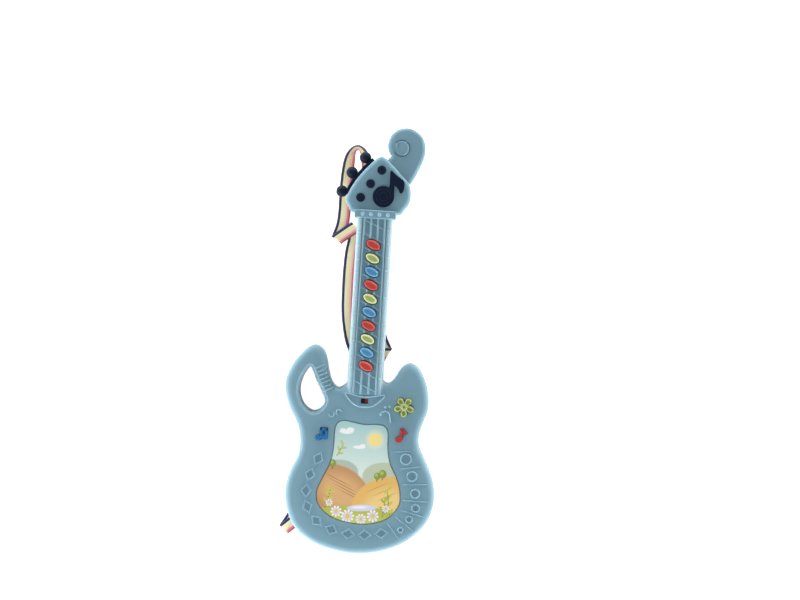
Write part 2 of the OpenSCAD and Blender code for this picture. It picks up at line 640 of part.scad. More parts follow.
// Openings in the front half for what shows or moves through it
module front_openings() {
    handle_hole_front(0);
    for (i = [0:key_count - 1]) translate([0, key_y(i), neck_in - sink]) rotate(-key_tilt)
        linear_extrude(neck_z - neck_in + 3 * sink)
            polygon(oval(key_l + 2 * key_gap, key_w + 2 * key_gap, 36));
    translate([0, 0, face_in - sink]) {
        translate(flower_at) linear_extrude(wall + 3 * sink) flower_shape(button_gap);
        translate(blue_at) linear_extrude(wall + 3 * sink) blue_note_shape(button_gap);
        translate(red_at) linear_extrude(wall + 3 * sink) red_note_shape(button_gap);
        translate(switch_at) translate([-slot_w / 2, -knob_l / 2 - fit, 0])
            cube([slot_w, knob_l + 2 * fit, wall + 3 * sink]);
    }
    plate(picture_line, face_z - picture_depth, face_z + sink);
    for (p = post_at) translate([p[0], p[1], head_z - wall - sink])
        cylinder(r = post_stem_r + fit, h = wall + 2 * sink);
    for (p = emblem_pin_at) translate([p[0], p[1], head_z - wall - sink])
        cylinder(r = emblem_pin_r + fit, h = wall + 2 * sink);
    translate([0, 0, scroll_z - groove_d]) translate(eye_at) rotate(-150)
        curl(eye_r, groove_w, groove_d + sink, 290);
    peg_tongue(fit);
}

module front_rooms() {
    difference() {
        loft(crown(body_line, split_z - sink, face_in, front_r - wall, wall, 2));
        handle_hole_front(wall);
    }
    along_neck(neck_room(neck_w - 2 * wall, split_z - sink, neck_in, 1.5), neck_foot + wall,
        nut_y - nut_w / 2);
    loft(crown(head_line, split_z - sink, head_z - wall, 1.5, wall, 1));
    loft(crown(scroll_line, split_z - sink, scroll_z - wall, 1.2, wall, 1));
}

module front_bosses() {
    for (p = body_screw_at) translate([p[0], p[1], split_z])
        tube(boss_r, pilot_r, face_in - split_z + 0.5);
    for (p = neck_screw_at) translate([p[0], p[1], split_z])
        tube(boss_r, pilot_r, neck_in - split_z + 0.5);
    translate([head_screw_at[0][0], head_screw_at[0][1], split_z])
        tube(boss_r, pilot_r, head_z - wall - split_z + 0.5);
    translate([head_screw_at[1][0], head_screw_at[1][1], split_z])
        tube(boss_r, pilot_r, scroll_z - wall - split_z + 0.5);
    for (p = main_boss_at) translate([p[0], p[1], main_board_top])
        tube(board_boss_r, board_pilot_r, face_in - main_board_top + 0.5);
    for (y = neck_boss_y, x = [-1, 1]) translate([x * neck_boss_x, y, strip_z])
        tube(board_boss_r, board_pilot_r, neck_in - strip_z + 0.5);
}

module front_shell() {
    color("#86b3c6") union() {
        difference() {
            union() {
                loft(crown(body_line, split_z, face_z, front_r, 0, 3));
                along_neck(neck_upper(neck_w, split_z, neck_z, neck_r, channel_w, channel_z),
                    neck_foot, nut_y);
                loft(crown(head_line, split_z, head_z, head_r, 0, 3));
                loft(crown(scroll_line, split_z, scroll_z, head_r, 0, 3));
                front_relief();
                grip_ribs();
            }
            front_rooms();
            front_openings();
        }
        front_bosses();
    }
}

// Box round a pocket of the back, with its lower face open
module pocket_box(grow, turn, z0) {
    rotate(turn) translate([-pocket_w / 2 - grow, -pocket_l / 2 - grow, z0])
        cube([pocket_w + 2 * grow, pocket_l + 2 * grow, pocket_d + grow - z0]);
}

module strap_pocket(at, turn, z) {
    translate([at[0], at[1], z]) {
        difference() {
            pocket_box(pocket_wall, turn, wall / 2);
            pocket_box(0, turn, -sink);
        }
        rotate(turn) translate([-pocket_w / 2 - sink / 2, 0, bar_z]) rotate([0, 90, 0])
            cylinder(r = bar_r, h = pocket_w + sink);
    }
}

module back_rooms() {
    difference() {
        loft(bowl(body_line, floor_z, split_z + sink, back_r - wall, wall, 2));
        handle_hole_back(wall);
    }
    along_neck(neck_lower(neck_w - 2 * wall, neck_back + wall, split_z + sink, 2.4),
        neck_foot + wall, nut_y - nut_w / 2);
    loft(bowl(head_line, head_back + wall, split_z + sink, 1.5, wall, 1));
    loft(bowl(scroll_line, head_back + wall, split_z + sink, 1.2, wall, 1));
}

module back_openings() {
    handle_hole_back(0);
    for (p = grille_at) translate([p[0], p[1], -sink]) cylinder(r = grille_r, h = floor_z + 2 * sink);
    door_opening(fit);
    translate([bay_at[0] - bay_w / 2, bay_at[1] - bay_l / 2, 0]) cube([bay_w, bay_l, floor_z + sink]);
    translate([foot_bar_at[0], foot_bar_at[1], back_z]) pocket_box(0, foot_bar_turn, -sink);
    translate([head_bar_at[0], head_bar_at[1], head_back]) pocket_box(0, head_bar_turn, -sink);
    for (p = screw_places) translate([p[0], p[1], p[2] - sink]) {
        cylinder(r = screw_head_r + fit, h = p[3] - p[2] + sink);
        cylinder(r = screw_r + fit, h = split_z - p[2] + 2 * sink);
    }
    translate([door_screw_at[0], door_screw_at[1], door_t - sink]) cylinder(r = pilot_r, h = floor_z);
    peg_tongue(fit);
}

module door_opening(grow) {
    translate([bay_at[0] - bay_w / 2 - door_rim - grow, bay_at[1] - bay_l / 2 - door_rim - grow, -sink])
        cube([bay_w + 2 * (door_rim + grow), bay_l + 2 * (door_rim + grow), door_t + sink]);
    translate([door_screw_at[0] - tab_w / 2 - grow, door_screw_at[1] - tab_l / 2 - grow, -sink])
        cube([tab_w + 2 * grow, tab_l + sink, door_t + sink]);
    for (x = tongue_x)
        translate([x - tongue_w / 2 - grow, bay_at[1] + bay_l / 2 - tongue_l, tongue_z - grow])
            cube([tongue_w + 2 * grow, door_rim + 2 * tongue_l + grow, tongue_t + 2 * grow]);
}

module battery_bay() {
    translate([bay_at[0], bay_at[1], 0]) difference() {
        translate([-bay_w / 2 - bay_wall, -bay_l / 2 - bay_wall, floor_z - sink])
            cube([bay_w + 2 * bay_wall, bay_l + 2 * bay_wall, bay_top + bay_wall - floor_z + sink]);
        translate([-bay_w / 2, -bay_l / 2, 0]) cube([bay_w, bay_l, bay_top]);
    }
}

module back_bosses() {
    for (p = screw_places) translate([p[0], p[1], 0]) difference() {
        translate([0, 0, p[2] + wall / 2]) cylinder(r = back_boss_r, h = split_z - p[2] - wall / 2);
        translate([0, 0, p[2]]) cylinder(r = screw_head_r + fit, h = p[3] - p[2]);
        cylinder(r = screw_r + fit, h = split_z + sink);
    }
    translate([speaker_at[0], speaker_at[1], floor_z - sink])
        tube(speaker_d / 2 + fit + bay_wall, speaker_d / 2 + fit, speaker_ring_h + sink);
    translate([door_screw_at[0], door_screw_at[1], door_t + sink]) tube(boss_r, pilot_r, door_boss_h);
}

module back_shell() {
    color("#7fabc0") union() {
        difference() {
            union() {
                loft(bowl(body_line, back_z, split_z, back_r, 0, 3));
                along_neck(neck_lower(neck_w, neck_back, split_z, neck_r),
                    neck_foot + 10, nut_y + nut_w / 2);
                loft(bowl(head_line, head_back, split_z, head_r, 0, 3));
                loft(bowl(scroll_line, head_back, split_z, head_r, 0, 3));
                plate(pad_line, 0, floor_z - sink);
            }
            back_rooms();
            back_openings();
        }
        battery_bay();
        back_bosses();
        strap_pocket(foot_bar_at, foot_bar_turn, back_z);
        strap_pocket(head_bar_at, head_bar_turn, head_back);
    }
}

module picture_plate() {
    z = face_z - picture_depth;
    color("#bfe0dc") plate(inset(picture_line, picture_gap), z, z + picture_t);
}

// One note key: a dished oval cap, the flange that holds it in and the plunger on the rubber dome
module note_key(i) {
    top = channel_z + key_rise;
    color(key_colours[i % 3]) translate([0, key_y(i), 0]) {
        rotate(-key_tilt) {
            difference() {
                loft([for (q = [[0, key_flange_z], [0, top - 1.2], [0.35, top - 0.4], [1, top]])
                    lift(oval(key_l - 2 * q[0], key_w - 2 * q[0], 28), q[1])]);
                plate(oval(key_l - 2 * key_rim, key_w - 2 * key_rim, 28), top - key_dish, top + sink);
            }
            plate(oval(key_l + 2 * flange_rim, key_flange_w, 36), key_flange_z, key_flange_z + flange_t);
        }
        translate([0, 0, plunger_z]) cylinder(r = plunger_r, h = plunger_h + sink);
    }
}

// Flange and plunger under a tune button's cap
module button_foot(r) {
    translate([0, 0, button_flange_z]) cylinder(r = r, h = flange_t);
    translate([0, 0, button_plunger_z]) cylinder(r = plunger_r, h = plunger_h + sink);
}

module flower_button() {
    top = face_z + button_rise;
    color("#c6cb5a") translate(flower_at) {
        difference() {
            translate([0, 0, button_flange_z]) linear_extrude(top - button_flange_z) flower_shape(0);
            for (k = [0:4]) rotate(72 * k + petal_turn) translate([petal_at + 0.2, 0, top - petal_dish])
                cylinder(r = petal_r - petal_rim, h = petal_dish + sink);
        }
        translate([0, 0, top - sink]) tube(2.4, 1.2, sink + petal_dish);
        button_foot(button_flange_r[0]);
    }
}

module blue_note_button() {
    top = face_z + button_rise;
    color("#2f7fd0") translate(blue_at) {
        difference() {
            translate([0, 0, button_flange_z]) linear_extrude(top - button_flange_z) blue_note_shape(0);
            translate([1, -2.6, top - 1]) cube([2.8, 6, 1 + sink]);
        }
        button_foot(button_flange_r[1]);
    }
}

module red_note_button() {
    top = face_z + button_rise;
    color("#d8352c") translate(red_at) {
        translate([0, 0, button_flange_z]) linear_extrude(top - button_flange_z) red_note_shape(0);
        button_foot(button_flange_r[2]);
    }
}

// Slider at its off end: a knob in the slot, a skirt that closes the slot and a stem in the housing
module switch_slider() {
    color("#1c1416") translate([switch_at[0] - switch_travel / 2, switch_at[1], 0]) {
        translate([-knob_w / 2, -knob_l / 2, skirt_z]) cube([knob_w, knob_l, face_z + knob_rise - skirt_z]);
        translate([-skirt_w / 2, -knob_l / 2 - 1.2, skirt_z]) cube([skirt_w, knob_l + 2.4, skirt_t]);
        translate([-switch_stem / 2, -switch_stem / 2, skirt_z - stem_l])
            cube([switch_stem, switch_stem, stem_l + skirt_t / 2]);
    }
}

module switch_housing() {
    slot = switch_travel + switch_stem + 2 * fit;
    color("#b8bcc0") translate([switch_at[0], switch_at[1], main_board_top]) difference() {
        translate([-housing_w / 2, -housing_l / 2, 0]) cube([housing_w, housing_l, housing_h]);
        translate([-slot / 2, -switch_stem / 2 - fit, housing_t])
            cube([slot, switch_stem + 2 * fit, housing_h]);
    }
}

// Hollow rubber dome that a plunger presses
module dome(r, top_r, h) {
    rotate_extrude() polygon([[r - 0.8, 0], [r, 0], [top_r, h], [0, h], [0, h - 1], [top_r - 0.8, h - 1]]);
}

module key_rubber_strip() {
    color("#e8e4dc") {
        difference() {
            translate([-strip_w / 2, neck_board_foot + 4, strip_z])
                cube([strip_w, neck_board_end - neck_board_foot - 6, strip_t]);
            for (i = [0:key_count - 1]) translate([0, key_y(i), strip_z - sink])
                cylinder(r = 2.4, h = strip_t + 2 * sink);
        }
        for (i = [0:key_count - 1]) translate([0, key_y(i), strip_z + strip_t]) dome(3.6, 2.4, dome_h);
    }
}

module button_domes() {
    color("#e8e4dc") for (p = button_places) translate([p[0], p[1], main_board_top])
        dome(4.6, 2.8, button_dome_h);
}

module neck_circuit_board() {
    color("#2f6b3c") difference() {
        translate([-neck_board_w / 2, neck_board_foot, neck_board_z])
            cube([neck_board_w, neck_board_end - neck_board_foot, board_t]);
        for (y = neck_boss_y, x = [-1, 1]) translate([x * neck_boss_x, y, neck_board_z - sink])
            cylinder(r = board_screw_r + fit, h = board_t + 2 * sink);
    }
}

module main_circuit_board() {
    color("#2f6b3c") difference() {
        plate(main_board_line, main_board_z, main_board_top);
        for (p = main_boss_at) translate([p[0], p[1], main_board_z - sink])
            cylinder(r = board_screw_r + fit, h = board_t + 2 * sink);
    }
}

// Drop of black resin over the sound chip
module sound_chip() {
    color("#15161a") translate([chip_at[0], chip_at[1], main_board_z - chip_h])
        rotate_extrude() polygon([[0, chip_h], [0, 0], [2, 0], [3.6, 0.4], [4.6, 1.1], [5, chip_h]]);
}

// Flat cable that joins the two boards
module neck_cable() {
    y0 = neck_board_foot + 3;
    y1 = switch_at[1] + 4;
    color("#d8d8d2") translate([cable_x - cable_w / 2, 0, 0]) rotate([90, 0, 90]) linear_extrude(cable_w)
        polygon([[y0, neck_board_z], [y0, neck_board_z - cable_drop], [y1 - 1, main_board_z - cable_drop],
            [y1 - 1, main_board_z], [y1, main_board_z], [y1, main_board_z - cable_drop + cable_t],
            [y0 - 1, neck_board_z - cable_drop + cable_t], [y0 - 1, neck_board_z]]);
}

module speaker_basket() {
    r = speaker_d / 2;
    z1 = basket_t + basket_h;
    color("#8d9195") translate([speaker_at[0], speaker_at[1], basket_z]) difference() {
        rotate_extrude() polygon([[r - 3, 0], [r, 0], [r, basket_t], [r - 2.4, basket_t], [magnet_r, z1],
            [0, z1], [0, z1 - basket_t], [magnet_r - 0.5, z1 - basket_t]]);
        for (k = [0:3]) rotate(90 * k + 45) translate([r * 0.72, 0, 0.45 * z1]) rotate([90, 0, 0])
            translate([0, 0, -4]) cylinder(r = 2, h = 8);
    }
}

module speaker_cone() {
    r = speaker_d / 2;
    color("#2b2b2e") translate([speaker_at[0], speaker_at[1], floor_z])
        rotate_extrude() polygon([[r - 3.6, 0], [r, 0], [r, gasket_t], [r - 3.6, gasket_t], [7, 4.4],
            [5, 4.4], [0, 3], [0, 2.4], [5, 3.8], [6.6, 3.8]]);
}

module speaker_magnet() {
    color("#3a3b40") translate([speaker_at[0], speaker_at[1], basket_top])
        cylinder(r = magnet_r, h = magnet_h);
}

// Insulated wire through the given points, with round elbows
module wire(points, r) {
    for (k = [0:len(points) - 2]) {
        d = points[k + 1] - points[k];
        translate(points[k]) rotate([0, acos(d[2] / norm(d)), atan2(d[1], d[0])])
            cylinder(r = r, h = norm(d));
    }
    for (k = [1:1:len(points) - 2]) translate(points[k]) sphere(r = r);
}

module speaker_leads() {
    x = speaker_at[0];
    y = speaker_at[1] + speaker_d / 2 - 1.5;
    for (s = [-1, 1]) color(s < 0 ? "#c03028" : "#20242a")
        wire([[x + 3 * s, y, basket_z + basket_t], [x + 3 * s, y, main_board_z]], wire_r);
}

module battery_door() {
    color("#7aa6bb") difference() {
        union() {
            translate([bay_at[0] - bay_w / 2 - door_rim, bay_at[1] - bay_l / 2 - door_rim, 0])
                cube([bay_w + 2 * door_rim, bay_l + 2 * door_rim, door_t]);
            translate([door_screw_at[0] - tab_w / 2, door_screw_at[1] - tab_l / 2, 0])
                cube([tab_w, tab_l, door_t]);
            for (x = tongue_x)
                translate([x - tongue_w / 2, bay_at[1] + bay_l / 2 - tongue_l + fit, tongue_z])
                    cube([tongue_w, door_rim + 2 * tongue_l - fit, tongue_t]);
        }
        translate([door_screw_at[0], door_screw_at[1], -sink]) {
            cylinder(r = screw_head_r + fit, h = door_sink + sink);
            cylinder(r = screw_r + fit, h = door_t + 2 * sink);
        }
    }
}

// Screw with its head at z = 0 and its point upwards
module screw(r, head_r, head_t, l) {
    cylinder(r = head_r, h = head_t);
    cylinder(r = r, h = l);
}

module battery_door_screw() {
    color("#b9bcc0") translate([door_screw_at[0], door_screw_at[1], door_sink - door_head_t])
        screw(screw_r, screw_head_r, door_head_t, door_screw_l);
}

module battery_cell(i) {
    x = bay_at[0] + (i - (cell_count - 1) / 2) * cell_pitch;
    color("#3b7a46") translate([x, bay_at[1], cell_z]) rotate([i % 2 == 0 ? -90 : 90, 0, 0])
        translate([0, 0, -cell_l / 2]) {
            cylinder(r = cell_d / 2, h = cell_l - cell_nub);
            cylinder(r = cell_nub_r, h = cell_l);
        }
}

// Plates at both ends of the cells, each with a pressed bump
module battery_contacts() {
    bump = contact_gap - contact_t;
    color("#c9ccce") for (i = [0:cell_count - 1], s = [-1, 1]) {
        x = bay_at[0] + (i - (cell_count - 1) / 2) * cell_pitch;
        translate([x, bay_at[1] + s * bay_l / 2, cell_z]) rotate([s * 90, 0, 0]) {
            translate([-contact_w / 2, -contact_w / 2, 0]) cube([contact_w, contact_w, contact_t]);
            cylinder(r1 = 4, r2 = 2, h = contact_t + bump);
        }
    }
}

module battery_leads() {
    for (s = [-1, 1]) color(s < 0 ? "#c03028" : "#20242a") {
        x = bay_at[0] + s * cell_pitch;
        y = bay_at[1] + bay_l / 2;
        end = main_board_line[0][1] + 3;
        z = bay_top + bay_wall;
        wire([[x, y - contact_t / 2, z], [x, y - contact_t / 2, z + 2.5], [x, end, z + 2.5],
            [x, end, main_board_z]], wire_r);
    }
}

// Stem with a ball round the far end
module peg(l) {
    rotate_extrude() polygon(concat([[0, 0], [peg_stem_r, 0]],
        arc(0, l, peg_r, -acos(peg_stem_r / peg_r), 90, 12)));
}

// Strip with three balls for tuning pegs, held by its tongue between the two halves
module tuning_pegs() {
    color("#0e1b33") {
        peg_tongue(0);
        plate(edge_strip(fit, peg_out, peg_from, peg_to), split_z - peg_h / 2, split_z + peg_h / 2);
        for (k = [0:2]) {
            d = peg_at[k] - peg_root[k];
            a = peg_root[k] + unit(d) * fit * 6;
            translate([a[0], a[1], split_z]) rotate([0, 90, atan2(d[1], d[0])]) peg(norm(peg_at[k] - a));
        }
    }
}

// Tongue of the tuning pegs' strip in the slot between the two halves
module peg_tongue(grow) {
    a = on_head(-5.6, 49);
    b = on_head(-24.6, 23.4);
    along = unit(b - a);
    ridge(a - grow * along, b + grow * along, peg_tongue_in * 2 + 2 * grow,
        split_z - peg_tongue_h / 2 - grow, split_z + peg_tongue_h / 2 + grow);
}

module string_post_caps() {
    color("#0e1b33") for (p = post_at) translate([p[0], p[1], 0]) {
        translate([0, 0, head_z - wall - 0.6]) cylinder(r = post_stem_r, h = wall + 1);
        translate([0, 0, head_z]) rotate_extrude()
            polygon(concat([[0, 0], [post_r, 0]],
                arc(0, post_h - dome_r, dome_r, asin((dome_r - 1) / dome_r), 90, 6)));
    }
}

module note_emblem() {
    color("#0e1b33") {
        translate([0, 0, head_z]) difference() {
            union() {
                translate(emblem_at) cylinder(r = emblem_r, h = emblem_t);
                linear_extrude(emblem_t) polygon(emblem_flag);
            }
            for (r = [4, 7]) translate([emblem_at[0], emblem_at[1], emblem_t - 0.3])
                tube(r + 0.35, r - 0.35, sink);
        }
        for (p = emblem_pin_at) translate([p[0], p[1], head_z - wall - 0.6])
            cylinder(r = emblem_pin_r, h = wall + 1);
    }
}

module case_screws() {
    color("#b9bcc0") for (p = screw_places) translate([p[0], p[1], p[3] - screw_head_t])
        screw(screw_r, screw_head_r, screw_head_t, p[4] - p[3] + screw_head_t);
}

module board_screws() {
    l = board_t + board_head_t + board_bite;
    color("#c9ccce") {
        for (p = main_boss_at) translate([p[0], p[1], main_board_z - board_head_t])
            screw(board_screw_r, board_head_r, board_head_t, l);
        for (y = neck_boss_y, x = [-1, 1]) translate([x * neck_boss_x, y, neck_board_z - board_head_t])
            screw(board_screw_r, board_head_r, board_head_t, l);
    }
}

// Ribbon through stations of [x, y, z, turn of its width in plan, tilt of its width, stretch of its width]
module ribbon(s) {
    n = len(s);
    rings = [for (i = [0:n - 1]) let (
        c = [s[i][0], s[i][1], s[i][2]],
        a = s[max(0, i - 1)],
        b = s[min(n - 1, i + 1)],
        t = unit([b[0] - a[0], b[1] - a[1], b[2] - a[2]]),
        w = [cos(s[i][3]) * cos(s[i][4]), sin(s[i][3]) * cos(s[i][4]), sin(s[i][4])],
        u = unit(cross(t, w)) * strap_t / 2,
        h = w * strap_w / 2 * s[i][5])
        [c - h - u, c + h - u, c + h + u, c - h + u]];
    loft(rings);
}

module strap() {
    color("#c9b46a") ribbon(strap_route);
}

// Band that holds the two runs of spare strap under the neck
module strap_tie() {
    color("#e9e6df") translate([0, tie_y, 0]) rotate([90, 0, 0]) linear_extrude(tie_w, center = true)
        difference() {
            translate([-tie_x, 0.02]) square([2 * tie_x, tie_h]);
            translate([-tie_x + tie_t, tie_t]) square([2 * (tie_x - tie_t), tie_h - 2 * tie_t]);
        }
}

front_shell();
back_shell();
picture_plate();
for (i = [0:key_count - 1]) note_key(i);
flower_button();
blue_note_button();
red_note_button();
switch_slider();
switch_housing();
key_rubber_strip();
button_domes();
neck_circuit_board();
main_circuit_board();
sound_chip();
neck_cable();
speaker_basket();
speaker_cone();
speaker_magnet();
speaker_leads();
battery_door();
battery_door_screw();
for (i = [0:cell_count - 1]) battery_cell(i);
battery_contacts();
battery_leads();
tuning_pegs();
string_post_caps();
note_emblem();
case_screws();
board_screws();
strap();
strap_tie();
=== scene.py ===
import math

import bmesh
import bpy
from mathutils import Matrix, Vector
from mathutils.bvhtree import BVHTree


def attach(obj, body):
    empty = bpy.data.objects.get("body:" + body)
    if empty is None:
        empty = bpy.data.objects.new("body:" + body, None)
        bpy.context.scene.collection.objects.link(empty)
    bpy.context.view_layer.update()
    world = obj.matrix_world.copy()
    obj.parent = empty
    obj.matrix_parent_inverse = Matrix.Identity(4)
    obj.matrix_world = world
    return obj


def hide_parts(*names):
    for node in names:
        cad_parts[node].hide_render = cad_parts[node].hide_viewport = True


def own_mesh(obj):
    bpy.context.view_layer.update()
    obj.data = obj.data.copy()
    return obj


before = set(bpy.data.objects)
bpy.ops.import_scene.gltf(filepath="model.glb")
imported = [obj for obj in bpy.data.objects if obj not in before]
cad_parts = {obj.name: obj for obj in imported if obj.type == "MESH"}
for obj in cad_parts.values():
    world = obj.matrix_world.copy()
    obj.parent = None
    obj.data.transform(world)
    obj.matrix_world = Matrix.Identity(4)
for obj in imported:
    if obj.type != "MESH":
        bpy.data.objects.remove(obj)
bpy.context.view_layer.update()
scene = bpy.context.scene
scene.view_settings.view_transform = "Standard"

# Heights and places on the guitar, in millimetres
MM = 0.001
FACE_Z = 36.0
NECK_Z = 37.5
CHANNEL_Z = 36.9
HEAD_Z = 35.0
SCROLL_Z = 32.0
SPLIT_Z = 22.0
HEAD_BACK = 15.0
BACK_Z = 3.0
NUT_Y = 233.6
NUT_Z = NECK_Z + 1.0
NUT_BUMPS = (-12, -4, 4, 12)
KEY_END = 204.6
KEY_PITCH = 12.8
KEYS = 10
KEY_Y = [KEY_END - KEY_PITCH * i for i in range(KEYS)]
KEY_TILT = math.radians(-25)
NECK_FOOT = 62.0
CHANNEL_W = 24.0
KEY_L, KEY_W = 14.5, 8.7
KEY_FLANGE, FLANGE_T = 33.05, 1.2
FRET_L = 22.5
STRING_OUT, STRING_TAPER = 10.8, 1.1
FRETS_Y = [KEY_END - KEY_PITCH * (k - 1.5) for k in range(13)]
FLOWER_AT = (38.5, 52.7)
BLUE_AT = (-38.4, 22.5)
RED_AT = (37.0, 25.5)
SWITCH_AT = (0.6, 56.0)
BUTTON_TOP = FACE_Z + 2.2
BUTTON_FLANGE = 32.15
PLUNGER_Z = 29.95
KEY_PLUNGER_Z = 30.85
KEY_DOME_H, BUTTON_DOME_H = 2.4, 3.2
DOME_CLEAR = 0.02


def on_head(x, y):
    return (x, y + NUT_Y)


def key_name(i):
    return "key_%02d" % (i + 1)


EMBLEM_AT = on_head(6.6, 17.5)
EYE_AT = on_head(21.3, 64.7)


def placed(name, data):
    obj = bpy.data.objects.new(name, data)
    scene.collection.objects.link(obj)
    return obj


# Camera, straight above the face and turned as the photograph is

def place_camera():
    lens, sensor, wide, face = 80.0, 36.0, 0.76, 0.036
    data = bpy.data.cameras.new("view")
    data.lens = lens
    data.sensor_width = sensor
    data.clip_end = 20.0
    camera = placed("view", data)
    camera.location = (0.0284, 0.154, face + wide * lens / sensor)
    camera.rotation_euler = (0, 0, math.radians(3.5))
    scene.camera = camera


place_camera()


# Shader nodes, and the node groups that the finishes share

def feed(tree, target, source):
    if isinstance(source, bpy.types.NodeSocket):
        tree.links.new(source, target)
    else:
        target.default_value = source


def node(tree, kind, inputs=None, **settings):
    """New node with its settings, and a link or a value for each named or numbered input."""
    n = tree.nodes.new(kind)
    for key, value in settings.items():
        setattr(n, key, value)
    for key, value in (inputs or {}).items():
        feed(tree, n.inputs[key], value)
    return n


def math_node(tree, operation, a, b=0.0, c=0.0, clamp=False):
    return node(tree, "ShaderNodeMath", {0: a, 1: b, 2: c}, operation=operation, use_clamp=clamp).outputs[0]


def times(tree, a, b):
    return math_node(tree, "MULTIPLY", a, b)


def vector_math(tree, operation, a, b):
    second = "Scale" if operation == "SCALE" else 1
    return node(tree, "ShaderNodeVectorMath", {0: a, second: b}, operation=operation).outputs[0]


def in_mm(tree, place):
    return vector_math(tree, "SCALE", place, 1 / MM)


def xyz(tree, vector):
    return node(tree, "ShaderNodeSeparateXYZ", {0: vector}).outputs


def mix_colour(tree, factor, a, b, blend="MIX"):
    inputs = {0: factor, 6: a, 7: b}
    return node(tree, "ShaderNodeMix", inputs, data_type="RGBA", blend_type=blend).outputs[2]


def noise(tree, vector, scale, detail=2.0, rough=0.5):
    inputs = {"Vector": vector, "Scale": scale, "Detail": detail, "Roughness": rough}
    return node(tree, "ShaderNodeTexNoise", inputs).outputs["Fac"]


def remap(tree, value, low, high, to_low=0.0, to_high=1.0):
    inputs = {0: value, 1: low, 2: high, 3: to_low, 4: to_high}
    return node(tree, "ShaderNodeMapRange", inputs, clamp=True).outputs[0]


def new_group(name, inputs, outputs):
    """Node group, with what its inside takes in and gives out; a socket has a title and a kind."""
    group = bpy.data.node_groups.new(name, "ShaderNodeTree")
    for way, sockets in (("INPUT", inputs), ("OUTPUT", outputs)):
        for title, kind in sockets.items():
            group.interface.new_socket(title, in_out=way, socket_type="NodeSocket" + kind)
    return group, group.nodes.new("NodeGroupInput").outputs, group.nodes.new("NodeGroupOutput").inputs


def moulded_group():
    """Satin of a moulded surface: slow shade from the flow of the plastic, fine grain, handling scuffs."""
    g, given, result = new_group(
        "moulded_surface",
        {"Vector": "Vector", "Colour": "Color", "Shade": "Float", "Roughness": "Float", "Scuffs": "Float"},
        {"Colour": "Color", "Roughness": "Float", "Height": "Float"})
    v = given["Vector"]
    slow = math_node(g, "SUBTRACT", noise(g, v, 22.0, 3.0), 0.5)
    grain = noise(g, v, 2600.0, 2.0, 0.6)
    stretch = node(g, "ShaderNodeMapping",
                   {"Vector": v, "Rotation": (0.0, 0.0, 0.6), "Scale": (1.0, 9.0, 3.0)})
    lines = noise(g, stretch.outputs[0], 160.0, 3.0, 0.65)
    scuff = times(g, remap(g, lines, 0.64, 0.74), given["Scuffs"])
    factor = math_node(g, "ADD", 1.0, times(g, times(g, slow, given["Shade"]), 2.0))
    shaded = vector_math(g, "SCALE", given["Colour"], factor)
    rough = math_node(g, "ADD", given["Roughness"], times(g, slow, 0.2))
    feed(g, result["Colour"], mix_colour(g, times(g, scuff, 0.25), shaded, (0.9, 0.95, 1.0, 1.0)))
    feed(g, result["Roughness"], math_node(g, "ADD", rough, times(g, scuff, 0.2), clamp=True))
    feed(g, result["Height"], math_node(g, "SUBTRACT", grain, times(g, scuff, 1.5)))
    return g


def spot_group():
    """Soft-edged oval at a place, turned by an angle."""
    g, given, result = new_group(
        "oval_spot",
        {"Vector": "Vector", "Place": "Vector", "Half size": "Vector", "Angle": "Float",
         "Softness": "Float"},
        {"Mask": "Float"})
    away = vector_math(g, "SUBTRACT", given["Vector"], given["Place"])
    turned_back = times(g, given["Angle"], -1.0)
    turn = node(g, "ShaderNodeVectorRotate", {"Vector": away, "Angle": turned_back}, rotation_type="Z_AXIS")
    share = vector_math(g, "DIVIDE", turn.outputs[0], given["Half size"])
    level = vector_math(g, "MULTIPLY", share, (1.0, 1.0, 0.0))
    far = node(g, "ShaderNodeVectorMath", {0: level}, operation="LENGTH").outputs["Value"]
    low = math_node(g, "SUBTRACT", 1.0, given["Softness"])
    feed(g, result["Mask"], remap(g, far, low, 1.0, 1.0, 0.0))
    return g


def daisy_group():
    """Round-petalled flower at a place: masks of its petals and heart, and the shade of the petals."""
    g, given, result = new_group(
        "daisy_shape",
        {"Vector": "Vector", "Place": "Vector", "Radius": "Float", "Petals": "Float", "Turn": "Float"},
        {"Petals": "Float", "Heart": "Float", "Shade": "Float"})
    x, y, _ = xyz(g, vector_math(g, "SUBTRACT", given["Vector"], given["Place"]))
    far = math_node(g, "SQRT", math_node(g, "MULTIPLY_ADD", x, x, times(g, y, y)))
    share = math_node(g, "DIVIDE", far, given["Radius"])
    angle = math_node(g, "ADD", math_node(g, "ARCTAN2", y, x), given["Turn"])
    half = times(g, times(g, angle, given["Petals"]), 0.5)
    wave = math_node(g, "SQRT", math_node(g, "ABSOLUTE", math_node(g, "COSINE", half)))
    edge = math_node(g, "MULTIPLY_ADD", wave, 0.6, 0.4)
    feed(g, result["Petals"], remap(g, math_node(g, "SUBTRACT", edge, share), 0.0, 0.06))
    feed(g, result["Heart"], remap(g, share, 0.26, 0.32, 1.0, 0.0))
    feed(g, result["Shade"], remap(g, times(g, share, wave), 0.25, 0.85))
    return g


